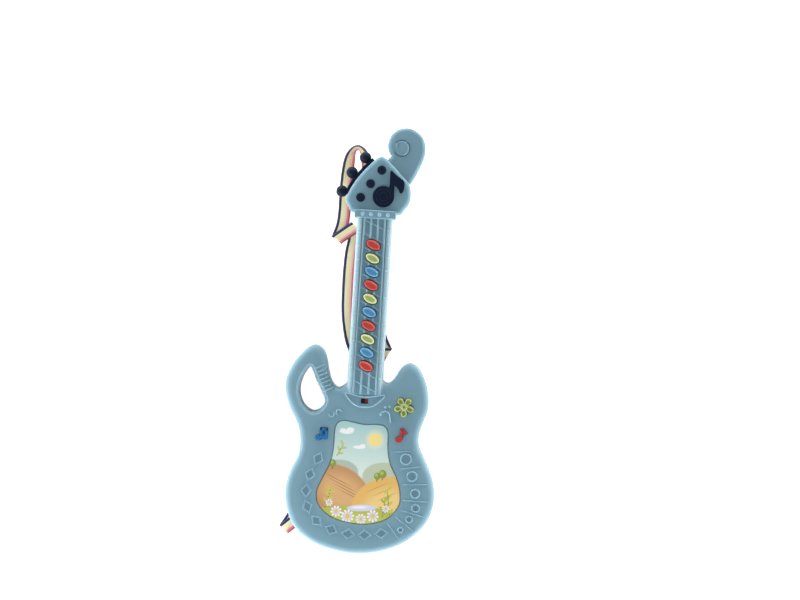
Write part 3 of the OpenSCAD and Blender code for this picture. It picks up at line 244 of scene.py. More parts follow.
def edge_highlight_group():
    """Mask of painted highlight on the housing's rounded edges: the rounded sides of the neck, and fainter
    those of the body.
    """
    g, given, result = new_group("edge_painted_highlight", {"Vector": "Vector"}, {"Mask": "Float"})
    across, y, z = xyz(g, in_mm(g, given["Vector"]))
    x = math_node(g, "ABSOLUTE", across)
    start = CHANNEL_W / 2
    neck = remap(g, x, start, start + 5, 0.45, 1.0)
    for value, low, high in ((x, start - 0.2, start), (x, 17.7, 17.1), (y, NECK_FOOT, NECK_FOOT + 12),
                             (y, NUT_Y - 2.5, NUT_Y - 3.5)):
        neck = times(g, neck, remap(g, value, low, high))
    body = times(g, remap(g, z, FACE_Z - 0.3, FACE_Z - 6, 0.0, 0.55),
                 remap(g, y, NECK_FOOT + 45, NECK_FOOT + 40))
    both = math_node(g, "MAXIMUM", neck, body)
    feed(g, result["Mask"], times(g, both, remap(g, z, SPLIT_Z + 4, SPLIT_Z + 9)))
    return g


MOULDED = moulded_group()
EDGE_HIGHLIGHT = edge_highlight_group()
SPOT = spot_group()
DAISY = daisy_group()


# Finishes

def finish(name, rough, coat=0.0, metal=0.0, specular=0.5, sheen=0.0, tint=(0.8, 0.93, 1.0)):
    m = bpy.data.materials.new(name)
    m.use_nodes = True
    bsdf = m.node_tree.nodes["Principled BSDF"].inputs
    for title, value in (("Roughness", rough), ("Metallic", metal), ("Specular IOR Level", specular),
                         ("Coat Weight", coat), ("Coat Roughness", 0.12), ("Sheen Weight", sheen),
                         ("Sheen Roughness", 0.4), ("Sheen Tint", (*tint, 1.0))):
        bsdf[title].default_value = value
    return m, m.node_tree, bsdf


def moulded(name, colour, rough, shade=0.05, scuffs=0.1, coat=0.0, specular=0.5, sheen=0.0, metal=0.0,
            raised=None, low_shade=None, painted_edge_light=None):
    """Moulded plastic, or metal without grain. Where the mesh's rim attribute is 1 the raised colour shows:
    painted highlight on the tops of keys, flower and notes, paler navy in the emblem's grooves. Where the
    skirt attribute is 1 the low_shade colour is painted shade, and painted_edge_light is painted highlight
    on the rounded edges of the housing."""
    m, t, bsdf = finish(name, rough, coat, metal, specular, sheen)
    place = node(t, "ShaderNodeTexCoord").outputs["Object"]
    tint = (*colour, 1.0)
    # Rim colour: painted highlight on raised tops, paler navy in the emblem's grooves; skirt colour: painted
    # shade.
    for layer, other in (("rim", raised), ("skirt", low_shade)):
        if other:
            part = node(t, "ShaderNodeAttribute", attribute_name=layer)
            tint = mix_colour(t, part.outputs["Fac"], tint, (*other, 1.0))
    # Paler colour on the housing's rounded edges: painted highlight.
    if painted_edge_light:
        edges = node(t, "ShaderNodeGroup", {"Vector": place}, node_tree=EDGE_HIGHLIGHT)
        tint = mix_colour(t, edges.outputs["Mask"], tint, (*painted_edge_light, 1.0))
    inputs = {"Vector": place, "Colour": tint, "Shade": shade, "Roughness": rough, "Scuffs": scuffs}
    use = node(t, "ShaderNodeGroup", inputs, node_tree=MOULDED).outputs
    feed(t, bsdf["Base Color"], use["Colour"])
    feed(t, bsdf["Roughness"], use["Roughness"])
    if not metal:
        bump = node(t, "ShaderNodeBump", {"Strength": 0.2, "Distance": 0.0001, "Height": use["Height"]})
        feed(t, bsdf["Normal"], bump.outputs["Normal"])
    return m


# Housing blue; painted_edge_light paints a paler highlight on its rounded edges.
SHELL = moulded("shell_satin", (0.174, 0.318, 0.398), 0.45, 0.06, 0.25, specular=0.15, sheen=1.0,
                painted_edge_light=(0.34, 0.48, 0.54))
# Raised lines, marks and grip ribs are lighter copies of the housing blue: painted highlight.
RELIEF_HIGHLIGHT = moulded("raised_line_painted_highlight", (0.225, 0.40, 0.485), 0.5, 0.06, 0.35, specular=0.2, sheen=1.0)
FAINT_HIGHLIGHT = moulded("faint_line_painted_highlight", (0.190, 0.345, 0.43), 0.5, 0.06, 0.35, specular=0.15, sheen=0.6)
PALE_HIGHLIGHT = moulded("pale_mark_painted_highlight", (0.40, 0.55, 0.61), 0.5, 0.06, 0.35, specular=0.2, sheen=1.0)
GRIP_HIGHLIGHT = moulded("grip_painted_highlight", (0.188, 0.343, 0.43), 0.45, 0.06, 0.35, specular=0.15, sheen=1.0)
# Dark teal for the ring at the print's edge: painted shadow of the plate's shallow recess.
PICTURE_EDGE_SHADE = moulded("picture_edge_painted_shade", (0.065, 0.125, 0.16), 0.35, 0.1)
NAVY = moulded("trim_gloss", (0.003, 0.010, 0.030), 0.48, 0.2, specular=0.15, raised=(0.016, 0.032, 0.07))
# Keys: own colour, a rim colour as painted highlight, and a dark skirt colour as painted shade in the gap.
KEY_FINISH = [
    moulded("key_%s_gloss" % name, colour, 0.3, coat=0.25, raised=raised, low_shade=low_shade)
    for name, colour, raised, low_shade in (
        ("red", (0.57, 0.045, 0.028), (0.48, 0.07, 0.055), (0.10, 0.012, 0.016)),
        ("yellow", (0.42, 0.49, 0.15), (0.58, 0.67, 0.36), (0.035, 0.075, 0.025)),
        ("blue", (0.065, 0.28, 0.53), (0.12, 0.34, 0.55), (0.012, 0.06, 0.14)))]
# Flower: raised tops painted with highlight, the low ground between petals painted with shade.
FLOWER = moulded("flower_gloss", (0.26, 0.33, 0.075), 0.3, coat=0.25, raised=(0.36, 0.44, 0.17),
                 low_shade=(0.13, 0.18, 0.05))
# Note finishes, with a lighter colour on their tops: painted highlight.
NOTE_BLUE = moulded("note_blue_gloss", (0.012, 0.11, 0.29), 0.35, specular=0.25,
                    raised=(0.018, 0.145, 0.35))
NOTE_RED = moulded("note_red_gloss", (0.34, 0.024, 0.03), 0.35, specular=0.25, raised=(0.39, 0.042, 0.047))
BLACK = moulded("switch_black", (0.005, 0.0045, 0.005), 0.5, 0.1, specular=0.25)
SWITCH_RED = moulded("switch_red", (0.50, 0.07, 0.05), 0.45, 0.1)
RUBBER = moulded("keypad_rubber", (0.74, 0.71, 0.64), 0.6)
BOARD = moulded("board_lacquer", (0.03, 0.16, 0.06), 0.35, 0.15)
RESIN = moulded("chip_resin", (0.01, 0.01, 0.013), 0.25, 0.1)
CABLE = moulded("cable_grey", (0.55, 0.55, 0.5), 0.5)
CONE = moulded("speaker_cone", (0.02, 0.02, 0.024), 0.55, 0.1)
WIRE = moulded("wire_red", (0.45, 0.03, 0.02), 0.4)
JACKET = moulded("cell_jacket", (0.04, 0.19, 0.07), 0.3, 0.05, 0.2)
BAND = moulded("band_plastic", (0.72, 0.7, 0.64), 0.5)
STEEL = moulded("plated_steel", (0.62, 0.63, 0.65), 0.3, 0.1, 0.6, metal=1.0)
MAGNET = moulded("magnet_grey", (0.16, 0.16, 0.18), 0.5, 0.1, 0.6, metal=1.0)


# Building helpers; all shapes are drawn in millimetres

def between(points, t):
    """Place at the share t from the second to the third of four points, on a smooth line through them."""
    a, b, c, d = (Vector(p) for p in points)
    return b + 0.5 * t * (c - a + t * (2 * a - 5 * b + 4 * c - d + t * (3 * (b - c) + d - a)))


def curve(points, steps):
    """Closed smooth line through the points."""
    n = len(points)
    return [between([points[(i + k) % n] for k in (-1, 0, 1, 2)], s / steps)
            for i in range(n) for s in range(steps)]


def inset(points, d):
    """Closed line moved inwards by d, or outwards where d is below 0."""
    n = len(points)
    out = []
    for i in range(n):
        t = (points[(i + 1) % n] - points[i - 1]).normalized()
        out.append(points[i] + d * Vector((-t.y, t.x)))
    return out


def polar(r, angle):
    a = math.radians(angle)
    return r * math.cos(a), r * math.sin(a)


def arc(x, y, r, start, end, n):
    ways = [polar(r, start + (end - start) * k / n) for k in range(n + 1)]
    return [(x + a, y + b) for a, b in ways]


def box_line(x0, y0, x1, y1, r):
    """Rectangle with rounded corners."""
    return (arc(x1 - r, y0 + r, r, -90, 0, 3) + arc(x1 - r, y1 - r, r, 0, 90, 3)
            + arc(x0 + r, y1 - r, r, 90, 180, 3) + arc(x0 + r, y0 + r, r, 180, 270, 3))


def lifted(points, z):
    return [(p[0], p[1], z) for p in points]


def round_edges(bm, edges, width, segments=3):
    bmesh.ops.bevel(bm, geom=edges, offset=width, offset_type="OFFSET", segments=segments, profile=0.5,
                    affect="EDGES", material=-1, clamp_overlap=True)


def move(bm, vec, verts=None):
    bmesh.ops.translate(bm, verts=verts or bm.verts, vec=vec)


def raise_faces(bm, faces, height):
    """Pulls faces up into a solid, and gives its upper faces."""
    grown = bmesh.ops.extrude_face_region(bm, geom=faces)["geom"]
    move(bm, (0, 0, height), [g for g in grown if isinstance(g, bmesh.types.BMVert)])
    return [g for g in grown if isinstance(g, bmesh.types.BMFace)]


def plate(bm, points, z0, z1, edge=0.0, under=False):
    """Closed outline raised from z0 to z1, with its upper edge rounded, or both."""
    face = bm.faces.new([bm.verts.new(p) for p in lifted(points, z0)])
    low = list(face.edges)
    rim = list({e for f in raise_faces(bm, [face], z1 - z0) for e in f.edges})
    if edge:
        round_edges(bm, rim + (low if under else []), edge)
    return bm


def next_loop(bm, edges):
    """Grows a closed loop of edges into a new one, and gives its points and edges."""
    grown = bmesh.ops.extrude_edge_only(bm, edges=edges)["geom"]
    verts = [g for g in grown if isinstance(g, bmesh.types.BMVert)]
    fresh = set(verts)
    return verts, [g for g in grown if isinstance(g, bmesh.types.BMEdge) and fresh.issuperset(g.verts)]


def line_edges(bm, points, z=0.0):
    """Closed line of edges at one height."""
    verts = [bm.verts.new((*p, z)) for p in points]
    return [bm.edges.new((verts[i - 1], verts[i])) for i in range(len(verts))]


def oval(a, b, n):
    return [(a * math.cos(math.tau * k / n), b * math.sin(math.tau * k / n)) for k in range(n)]


def oval_stack(levels, n):
    """Solid through ovals that each have a height and two half axes."""
    bm = bmesh.new()
    verts = [bm.verts.new((*p, levels[0][0])) for p in oval(*levels[0][1:], n)]
    bm.faces.new(verts)
    edges = [bm.edges.get((verts[i - 1], verts[i])) for i in range(n)]
    for z, a, b in levels[1:]:
        fresh, edges = next_loop(bm, edges)
        fresh = set(fresh)
        verts = [next(e.other_vert(v) for e in v.link_edges if e.other_vert(v) in fresh) for v in verts]
        for v, p in zip(verts, oval(a, b, n)):
            v.co = (*p, z)
    bm.faces.new(verts)
    return bm


def spun(profile, steps):
    """Solid of revolution about Z from [radius, height] points."""
    bm = bmesh.new()
    verts = [bm.verts.new((max(r, 0.0), 0, z)) for r, z in profile]
    edges = [bm.edges.new(pair) for pair in zip(verts, verts[1:])]
    bmesh.ops.spin(bm, geom=verts + edges, cent=(0, 0, 0), axis=(0, 0, 1), angle=math.tau, steps=steps,
                   use_merge=True, use_duplicate=False)
    bmesh.ops.remove_doubles(bm, verts=bm.verts, dist=0.0005)
    bmesh.ops.recalc_face_normals(bm, faces=bm.faces)
    return bm


def joined(bm, other, matrix=Matrix()):
    """Adds another bmesh to bm, moved by the matrix."""
    mesh = bpy.data.meshes.new("part")
    other.to_mesh(mesh)
    other.free()
    mesh.transform(matrix)
    bm.from_mesh(mesh)
    bpy.data.meshes.remove(mesh)
    return bm


def at(x, y, z=0.0):
    return Matrix.Translation((x, y, z))


def turned(angle):
    return Matrix.Rotation(angle, 4, "Z")


def beads(paths, radius, closed=False):
    """Round-backed ridges along the paths."""
    data = bpy.data.curves.new("ridge", "CURVE")
    data.dimensions = "3D"
    data.bevel_depth = radius
    data.bevel_resolution = 3
    data.use_fill_caps = True
    for path in paths:
        s = data.splines.new("POLY")
        s.points.add(len(path) - 1)
        for p, q in zip(s.points, path):
            p.co = (*q, 1.0)
        s.use_cyclic_u = closed
    line = bpy.data.objects.new("ridge", data)
    mesh = bpy.data.meshes.new_from_object(line)
    bm = bmesh.new()
    bm.from_mesh(mesh)
    bmesh.ops.remove_doubles(bm, verts=bm.verts, dist=0.0005)
    bpy.data.objects.remove(line)
    bpy.data.curves.remove(data)
    bpy.data.meshes.remove(mesh)
    return bm


def mark_heights(bm, low, high, layer="rim"):
    """Sets an attribute of the points, from 0 at one height to 1 at the other."""
    mark = bm.verts.layers.float.new(layer)
    for v in bm.verts:
        v[mark] = min(max((v.co.z - low) / (high - low), 0.0), 1.0)


def piece(name, bm, material, stands_for=None, sharp=35.0, weighted=True,
          body="housing"):
    """Piece drawn in millimetres."""
    bmesh.ops.recalc_face_normals(bm, faces=bm.faces)
    bmesh.ops.scale(bm, vec=(MM, MM, MM), verts=bm.verts)
    return shown(name, bm, material, stands_for, sharp, weighted, body)


def cap(name, bm, material, node_name):
    """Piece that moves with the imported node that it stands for."""
    piece(name, bm, material, node_name, 50.0, body=node_name + "_body")


def shown(name, bm, material, stands_for, sharp, weighted=True, body="housing"):
    """Piece in metres; edges that turn by more than the angle stay sharp."""
    limit = math.radians(sharp)
    for f in bm.faces:
        f.smooth = True
    for e in bm.edges:
        e.smooth = len(e.link_faces) == 2 and e.calc_face_angle(0.0) < limit
    mesh = bpy.data.meshes.new(name)
    bm.to_mesh(mesh)
    bm.free()
    for m in material if isinstance(material, list) else [material]:
        mesh.materials.append(m)
    obj = placed(name, mesh)
    if weighted:
        w = obj.modifiers.new("even_normals", "WEIGHTED_NORMAL")
        w.keep_sharp = True
        w.weight = 100
    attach(obj, body)
    if stands_for:
        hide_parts(stands_for)
    return obj


def packed(node_name):
    """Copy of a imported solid, in metres."""
    bm = bmesh.new()
    bm.from_mesh(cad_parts[node_name].data)
    bmesh.ops.remove_doubles(bm, verts=bm.verts, dist=1e-6)
    return bm


# Strap: a flat ribbon folded over itself, with its ends round bars in the back

def fold(x, y, z0, z1, turn, way, stretch):
    """Crease from one height to another, with the ribbon's width along it and stretched to suit."""
    dx, dy = polar(abs(z1 - z0) / 2, turn + 90 * way)
    return [(x, y, z0, turn, 0, stretch), (x + dx, y + dy, (z0 + z1) / 2, turn, 0, stretch),
            (x, y, z1, turn, 0, stretch)]


def loop(middle, way, turn, z, points):
    """Bend round a bar, through points with a distance along the way and a height."""
    c, s = polar(1, way)
    return [(middle[0] + p * c, middle[1] + p * s, z + h, turn, 0, 1) for p, h in points]


def flat(*places):
    """Places where the ribbon's width is level."""
    return [(x, y, z, turn, 0, 1) for x, y, z, turn in places]


STRAP_W, STRAP_T = 12.0, 0.8
# Heights of the ribbon on the floor and where it crosses itself
LAY, OVER = 0.6, 2.2
# A place is x, y, z, the turn and tilt of the ribbon's width in degrees, and the stretch of that width
STRAP_ROUTE = (
    loop((0, 268), 139, 49, HEAD_BACK + 2.6,
         [(15, -4.3), (6, -4.3), (0, -4.2), (-1.7, -3.5), (-2.4, -1.8), (-2.2, 0), (-1.6, 1.6), (0, 2.2),
          (1.6, 1.6), (2.2, 0), (2.6, -1.6), (4, -2.8), (7, -3.2), (15, -3.3)])
    + [(-12.5, 285, 12.9, 54, 12, 1), (-15.5, 292.5, 12, 68, 40, 1), (-20, 298, 10.8, 100, 70, 1),
       (-25, 296, 9.6, 145, 66, 1), (-28, 288.5, 8, 162, 38, 1), (-29.5, 277, 5.4, 170, 14, 1),
       (-30.4, 263, 2.6, 174, 4, 1), (-30.6, 248, 1, 176, 0, 1)]
    + flat((-30.6, 236, LAY, 174), (-32, 222, LAY, 168))
    + fold(-36, 209, LAY, OVER, 147, 1, 1.05)
    + flat((-27.5, 215.8, OVER, 128))
    + fold(-18.5, 222.5, OVER, LAY, 152, -1, 1.09)
    + flat((-19.6, 210, LAY, 175), (-21.5, 198, LAY, 174), (-22.5, 180, LAY, 178), (-22.4, 160, LAY, 181),
           (-21.6, 140, LAY, 185), (-18.8, 122, LAY, 194))
    + fold(-10, 96, LAY, OVER, 149, 1, 1.5)
    + flat((4.5, 98.5, OVER, 100))
    + fold(19.5, 101, OVER, LAY, 62, -1, 1.2)
    + flat((13, 114, LAY, 33), (9, 130, LAY, 16), (7.2, 148, LAY, 3), (7, 168, LAY, 0))
    + fold(7, 184, LAY, OVER, -45, 1, 1.41)
    + fold(-6.5, 184, OVER, LAY, -135, -1, 1.41)
    + flat((-6.5, 168, LAY, -180), (-6.3, 145, LAY, -180), (-5, 123, LAY, -180), (-4.6, 109, 3.2, -181),
           (-4.7, 97, 3.8, -183), (-5.7, 86, 3, -190), (-8.8, 75.5, 1.8, -200), (-14.4, 64.6, LAY, -216),
           (-23.4, 55.8, LAY, -225), (-32.7, 46.6, LAY, -217), (-39.4, 33.8, LAY, -201),
           (-43.8, 18.5, LAY, -194), (-46.5, 0, LAY, -191), (-49, -18, LAY, -189), (-52.5, -35, LAY, -193),
           (-57.5, -50, LAY, -200), (-63.5, -63, LAY, -207))
    + fold(-70, -74, LAY, OVER, -220, 1, 1.02)
    + flat((-61.5, -66.5, 2, -232), (-53, -60.2, 1.8, -244))
    + loop((-42, -56), 14, -256, BACK_Z + 2.6,
           [(-5, -5), (0, -5), (2, -4.3), (2.8, -2.4), (2.2, 0), (1.6, 1.6), (0, 2.2), (-1.6, 1.6),
            (-2.2, 0), (-2.6, -1.8), (-3.4, -3.1), (-5, -3.7)]))


def strap_stations():
    """The route with four steps in each longer span."""
    out = []
    n = len(STRAP_ROUTE)
    for i in range(n - 1):
        four = [STRAP_ROUTE[min(max(i + k, 0), n - 1)] for k in (-1, 0, 1, 2)]
        steps = 4 if (Vector(four[2]) - Vector(four[1])).to_3d().length > 5 else 1
        out += [between(four, s / steps) for s in range(steps)]
    return out + [Vector(STRAP_ROUTE[-1])]


def strap_finish():
    m, t, bsdf = finish("strap_weave", 0.8, sheen=0.8, tint=(1.0, 0.96, 0.86))
    uv = node(t, "ShaderNodeUVMap", uv_map="weave").outputs[0]
    across, along, _ = xyz(t, uv)
    wobble = times(t, noise(t, uv, 60.0), 0.02)
    stripe_at = math_node(t, "SUBTRACT", math_node(t, "ADD", across, wobble), 0.01)
    ramp = node(t, "ShaderNodeValToRGB", {0: stripe_at})
    ramp.color_ramp.interpolation = "CONSTANT"
    stripes = [(0.0, (0.11, 0.06, 0.32)), (0.07, (0.018, 0.02, 0.045)), (0.22, (0.95, 0.91, 0.55)),
               (0.42, (1.0, 0.84, 0.54)), (0.60, (0.97, 0.58, 0.46)), (0.74, (0.74, 0.20, 0.21)),
               (0.89, (0.32, 0.05, 0.08))]
    bands = ramp.color_ramp.elements
    bands.remove(bands[1])
    for place, colour in stripes:
        band = bands.new(place) if place else bands[0]
        band.color = (*colour, 1)
    picks = math_node(t, "SINE", times(t, along, math.tau * 1100))
    ends = math_node(t, "SINE", times(t, across, math.tau * 22))
    weave = math_node(t, "MULTIPLY_ADD", times(t, picks, ends), 0.5, 0.5)
    feed(t, bsdf["Base Color"],
         mix_colour(t, times(t, weave, 0.14), ramp.outputs[0], (0.1, 0.1, 0.1, 1), "MULTIPLY"))
    bump = node(t, "ShaderNodeBump", {"Strength": 0.6, "Distance": 0.0003, "Height": weave})
    feed(t, bsdf["Normal"], bump.outputs["Normal"])
    return m


def make_strap():
    """Ribbon along the route, whose UV map is the share across it and the metres along it."""
    stations = strap_stations()
    across = 6
    bm = bmesh.new()
    rows, run, length = [], [], 0.0
    for i, s in enumerate(stations):
        turn, tilt = math.radians(s[3]), math.radians(s[4])
        w = Vector((math.cos(turn) * math.cos(tilt), math.sin(turn) * math.cos(tilt), math.sin(tilt)))
        if i:
            length += (s.to_3d() - stations[i - 1].to_3d()).length
        run.append(length * MM)
        half = w * STRAP_W / 2 * s[5]
        rows.append([bm.verts.new(s.to_3d() + half * (2 * k / across - 1)) for k in range(across + 1)])
    uv = bm.loops.layers.uv.new("weave")
    for i in range(len(rows) - 1):
        for k in range(across):
            f = bm.faces.new((rows[i][k], rows[i][k + 1], rows[i + 1][k + 1], rows[i + 1][k]))
            for corner, (u, v) in zip(f.loops, ((k, i), (k + 1, i), (k + 1, i + 1), (k, i + 1))):
                corner[uv].uv = (1 - u / across, run[v])
    bmesh.ops.scale(bm, vec=(MM, MM, MM), verts=bm.verts)
    obj = shown("strap_ribbon", bm, strap_finish(), "strap", 80.0, weighted=False)
    thick = obj.modifiers.new("thickness", "SOLIDIFY")
    thick.thickness = STRAP_T * MM
    thick.offset = 0.0


make_strap()


# Housing halves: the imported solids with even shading, and low spots under the bumps of the nut

def shell_half(node_name, name):
    near, left = 1.65, 0.4
    bm = packed(node_name)
    for v in bm.verts:
        over = v.co.z - NUT_Z * MM
        far = min(math.hypot(v.co.x / MM - x, v.co.y / MM - NUT_Y) for x in NUT_BUMPS)
        if over > 0 and far < near:
            v.co.z -= over * (1 - left)
    shown(name, bm, SHELL, node_name, 34.0)


shell_half("front_shell", "front_half")
shell_half("back_shell", "back_half")


# Raised lines of the face

def string_point(side, y):
    away = STRING_OUT - STRING_TAPER * (y - NECK_FOOT - 1) / (NUT_Y - NECK_FOOT - 1)
    return (side * away, y, CHANNEL_Z + 0.1)


def string_spans(side):
    """Stretches of a string between the openings of the keys, from the body to the nut."""
    a, b = KEY_L / 2 + 1.0, KEY_W / 2 + 1.0
    c, s = math.cos(KEY_TILT), math.sin(KEY_TILT)
    x = side * (STRING_OUT - STRING_TAPER / 2)
    spans, start = [], NECK_FOOT + 1
    # At y from a key's middle the string meets the opening where p y^2 + 2 q y + r is 0
    p = (s / a) ** 2 + (c / b) ** 2
    q = x * c * s * (1 / a ** 2 - 1 / b ** 2)
    r = x * x * ((c / a) ** 2 + (s / b) ** 2) - 1
    for y in reversed(KEY_Y):
        if q * q > p * r:
            wide = math.sqrt(q * q - p * r)
            spans.append((start, y + (-q - wide) / p))
            start = y + (-q + wide) / p
    return spans + [(start, NUT_Y - 2)]


def neck_lines():
    strings = [[string_point(side, a), string_point(side, b)]
               for side in (-1, -1 / 3, 1 / 3, 1) for a, b in string_spans(side) if b - a > 0.8]
    piece("string_ridges", beads(strings, 0.9), RELIEF_HIGHLIGHT)
    c, s = FRET_L / 2 * math.cos(KEY_TILT), FRET_L / 2 * math.sin(KEY_TILT)
    frets = [[(-c, y - s, CHANNEL_Z), (c, y + s, CHANNEL_Z)] for y in FRETS_Y]
    piece("fret_bars", beads(frets, 0.62), RELIEF_HIGHLIGHT)
    marks = [[(side * (CHANNEL_W / 2 + 2.2) + d, y + side * s, NECK_Z) for d in (-1.4, 1.4)]
             for y in FRETS_Y[:-1] for side in (-1, 1)]
    piece("side_marks", beads(marks, 0.48), PALE_HIGHLIGHT)


RING_AT = [(43.3, 3.3, 5.4), (50, -12.6, 4.9), (54, -28.8, 4.5), (55.2, -42.7, 3.8), (49.7, -53.6, 3.4),
           (42, -64, 2.7)]
DIVIDER_AT = [(31, 9.5, 48, 11), (37.5, -6.5, 59, -3), (41.5, -21, 65, -19.5), (42.8, -36, 67, -36),
              (41.5, -45.5, 63, -50.5), (36.5, -52, 55.5, -65.5), (29, -58.5, 41, -73)]
DIAMOND_AT = [Vector(p) for p in (
    (-40, -1), (-46.7, -16.4), (-49.5, -32), (-47.6, -47), (-38, -60), (-23.4, -67.4), (-7.3, -70.8),
    (8.5, -70.8), (24.3, -68.4))]
CURL_DOTS = [(16.9, 44.6, 1.4), (20.6, 51.4, 1.0), (25, 52.2, 1.0)]
CRESCENT = curve([(0.6, 50.3), (9.8, 52.4), (17.5, 59.1), (19.3, 62.6), (15.9, 62.7), (0.6, 60.1),
                  (-14.4, 62.7), (-17.8, 62.6), (-16, 59.1), (-8.8, 52.4)], 4)


def diamond_frame(bm, middle, turn):
    """Raised outline of a diamond with rounded edges."""
    c, s = math.cos(turn), math.sin(turn)
    corners = [(6.78, 0), (0, 5.21), (-6.78, 0), (0, -5.21)]
    face = bm.faces.new([bm.verts.new((middle.x + x * c - y * s, middle.y + x * s + y * c, FACE_Z - 0.4))
                         for x, y in corners])
    face.normal_update()
    ring = bmesh.ops.inset_region(bm, faces=[face], thickness=1.2, depth=0.0,
                                  use_even_offset=True, use_boundary=True)["faces"]
    bmesh.ops.delete(bm, geom=[face], context="FACES")
    lids = set(raise_faces(bm, ring, 1.15))
    rim = [e for e in {e for f in lids for e in f.edges} if sum(f in lids for f in e.link_faces) == 1]
    round_edges(bm, rim, 0.36)


def body_lines():
    z = FACE_Z + 0.1
    bm = beads([lifted(arc(x, y, r - 0.45, 0, 360, 40)[:-1], z) for x, y, r in RING_AT], 0.7, closed=True)
    for f in bm.faces:
        f.material_index = 1
    joined(bm, beads([lifted(CRESCENT, z)], 0.7, closed=True))
    curls = [lifted(arc(21, 43, 4.75, 0, 150, 18), z), [(25.8, 43.3, z), (26.3, 40, z), (26.8, 36.9, z)],
             lifted(arc(-23, 44, 2.75, 20, 250, 20), z), lifted(arc(-30, 42, 2.75, 200, 410, 20), z)]
    joined(bm, beads(curls, 0.7))
    for x, y, r in CURL_DOTS:
        joined(bm, spun([(r + 0.2, -0.4), (r + 0.2, 0.2), (r * 0.9, 0.62), (r * 0.5, 0.82), (0, 0.9)], 24),
               at(x, y, FACE_Z))
    piece("ring_and_curl_ridges", bm, [RELIEF_HIGHLIGHT, FAINT_HIGHLIGHT], sharp=60.0)
    dividers = [[(x0, y0, FACE_Z), (x1, y1, FACE_Z)] for x0, y0, x1, y1 in DIVIDER_AT]
    piece("divider_lines", beads(dividers, 0.42), FAINT_HIGHLIGHT)
    bm = bmesh.new()
    for k, p in enumerate(DIAMOND_AT):
        d = DIAMOND_AT[min(k + 1, len(DIAMOND_AT) - 1)] - DIAMOND_AT[max(k - 1, 0)]
        diamond_frame(bm, p, math.atan2(d.y, d.x))
    piece("diamond_frames", bm, FAINT_HIGHLIGHT, sharp=50.0)


def grip_beads():
    """Ribs across the grip beside the neck, laid over its rounded edges."""
    start, end = Vector((-45, 85.5)), Vector((-34.5, 65))
    along = (end - start).normalized()
    side = Vector((-along.y, along.x))
    shell = BVHTree.FromBMesh(packed("front_shell"))
    paths, above, lowest = [], 0.06, 0.0295
    for k in range(7):
        p = start + (end - start) * k / 6
        path = []
        for step in range(-14, 17):
            q = (p + side * step * 0.5) * MM
            hit = shell.ray_cast(Vector((q.x, q.y, above)), Vector((0, 0, -1)))[0]
            if hit and hit.z > lowest:
                path.append((q.x / MM, q.y / MM, hit.z / MM - 0.12))
        paths.append(path)
    piece("grip_beads", beads(paths, 0.55), GRIP_HIGHLIGHT)


def scroll_eye():
    """Eye of the scroll: free on the right, running into the scroll on the left, with an inward curl."""
    bm = spun([(6.95, -0.9), (6.95, 0.0), (6.8, 0.4), (6.35, 0.7), (5.5, 0.85), (4.2, 0.86), (2.8, 0.84),
               (1.4, 0.82), (0, 0.8)], 64)
    for v in bm.verts:
        if v.co.z > 0:
            v.co.z *= 0.06 + 0.94 * min(max((v.co.x + 5.0) / 8.0, 0.0), 1.0)
    inward = [(6.9, 118), (6.6, 130), (6.0, 145), (5.3, 160), (4.5, 177), (3.8, 196), (3.2, 218),
              (2.7, 244)]
    curl = [(*polar(r, a), 0.05 - 0.1 * abs(k - 2.5)) for k, (r, a) in enumerate(inward)]
    joined(bm, beads([curl], 0.55))
    move(bm, (*EYE_AT, SCROLL_Z))
    piece("scroll_eye", bm, SHELL, sharp=60.0)


def nut_bumps():
    bm = bmesh.new()
    r, h = 1.8, 0.9
    dome = [(r * c, h * s) for c, s in arc(0, 0, 1, 0, 75, 5)]
    for x in NUT_BUMPS:
        joined(bm, spun([(r, -0.5)] + dome + [(0, h)], 28), at(x, NUT_Y, NUT_Z))
    piece("nut_bumps", bm, RELIEF_HIGHLIGHT, sharp=60.0)


neck_lines()
nut_bumps()
body_lines()
grip_beads()
scroll_eye()


# Picture plate with its printed landscape

PICTURE = curve([
    (6, -61.5), (28, -55.5), (39, -43), (40.5, -32), (37, -17), (29, -1), (26, 14), (25.5, 27),
    (21.5, 33.8), (13, 35.3), (2, 34.5), (-8, 36), (-18, 37.3), (-24.5, 34), (-26.6, 26), (-26.8, 11),
    (-29, -4), (-36, -20), (-40.5, -34), (-36, -47.5), (-20, -58)], 4)


CRISP = 0.06
STEM, LEAF = (0.16, 0.11, 0.03), (0.50, 0.56, 0.08)


def sprig(x, y, length, angle, leaves, stem, leaf):
    """Layers of a leafy stem from (x, y) at an angle."""
    c, s = polar(1, angle)
    half = length / 2
    layers = [((x + half * c, y + half * s, half, 0.45, angle), stem, CRISP)]
    for k in range(leaves):
        d = length * (k + 1) / (leaves + 0.2)
        way = angle + (52 if k % 2 else -52)
        dx, dy = polar(2.3, way)
        layers.append(((x + d * c + dx, y + d * s + dy, 2.9, 1.2, way), leaf, CRISP))
    return layers


def round_tree(x, y, r):
    return [((x, y - r, 0.5, 2.6), (0.20, 0.09, 0.04), CRISP),
            ((x, y, r, r * 1.1), (0.22, 0.30, 0.05), CRISP),
            ((x - 0.8, y + 0.9, r * 0.6, r * 0.7), (0.42, 0.50, 0.10), 0.6)]


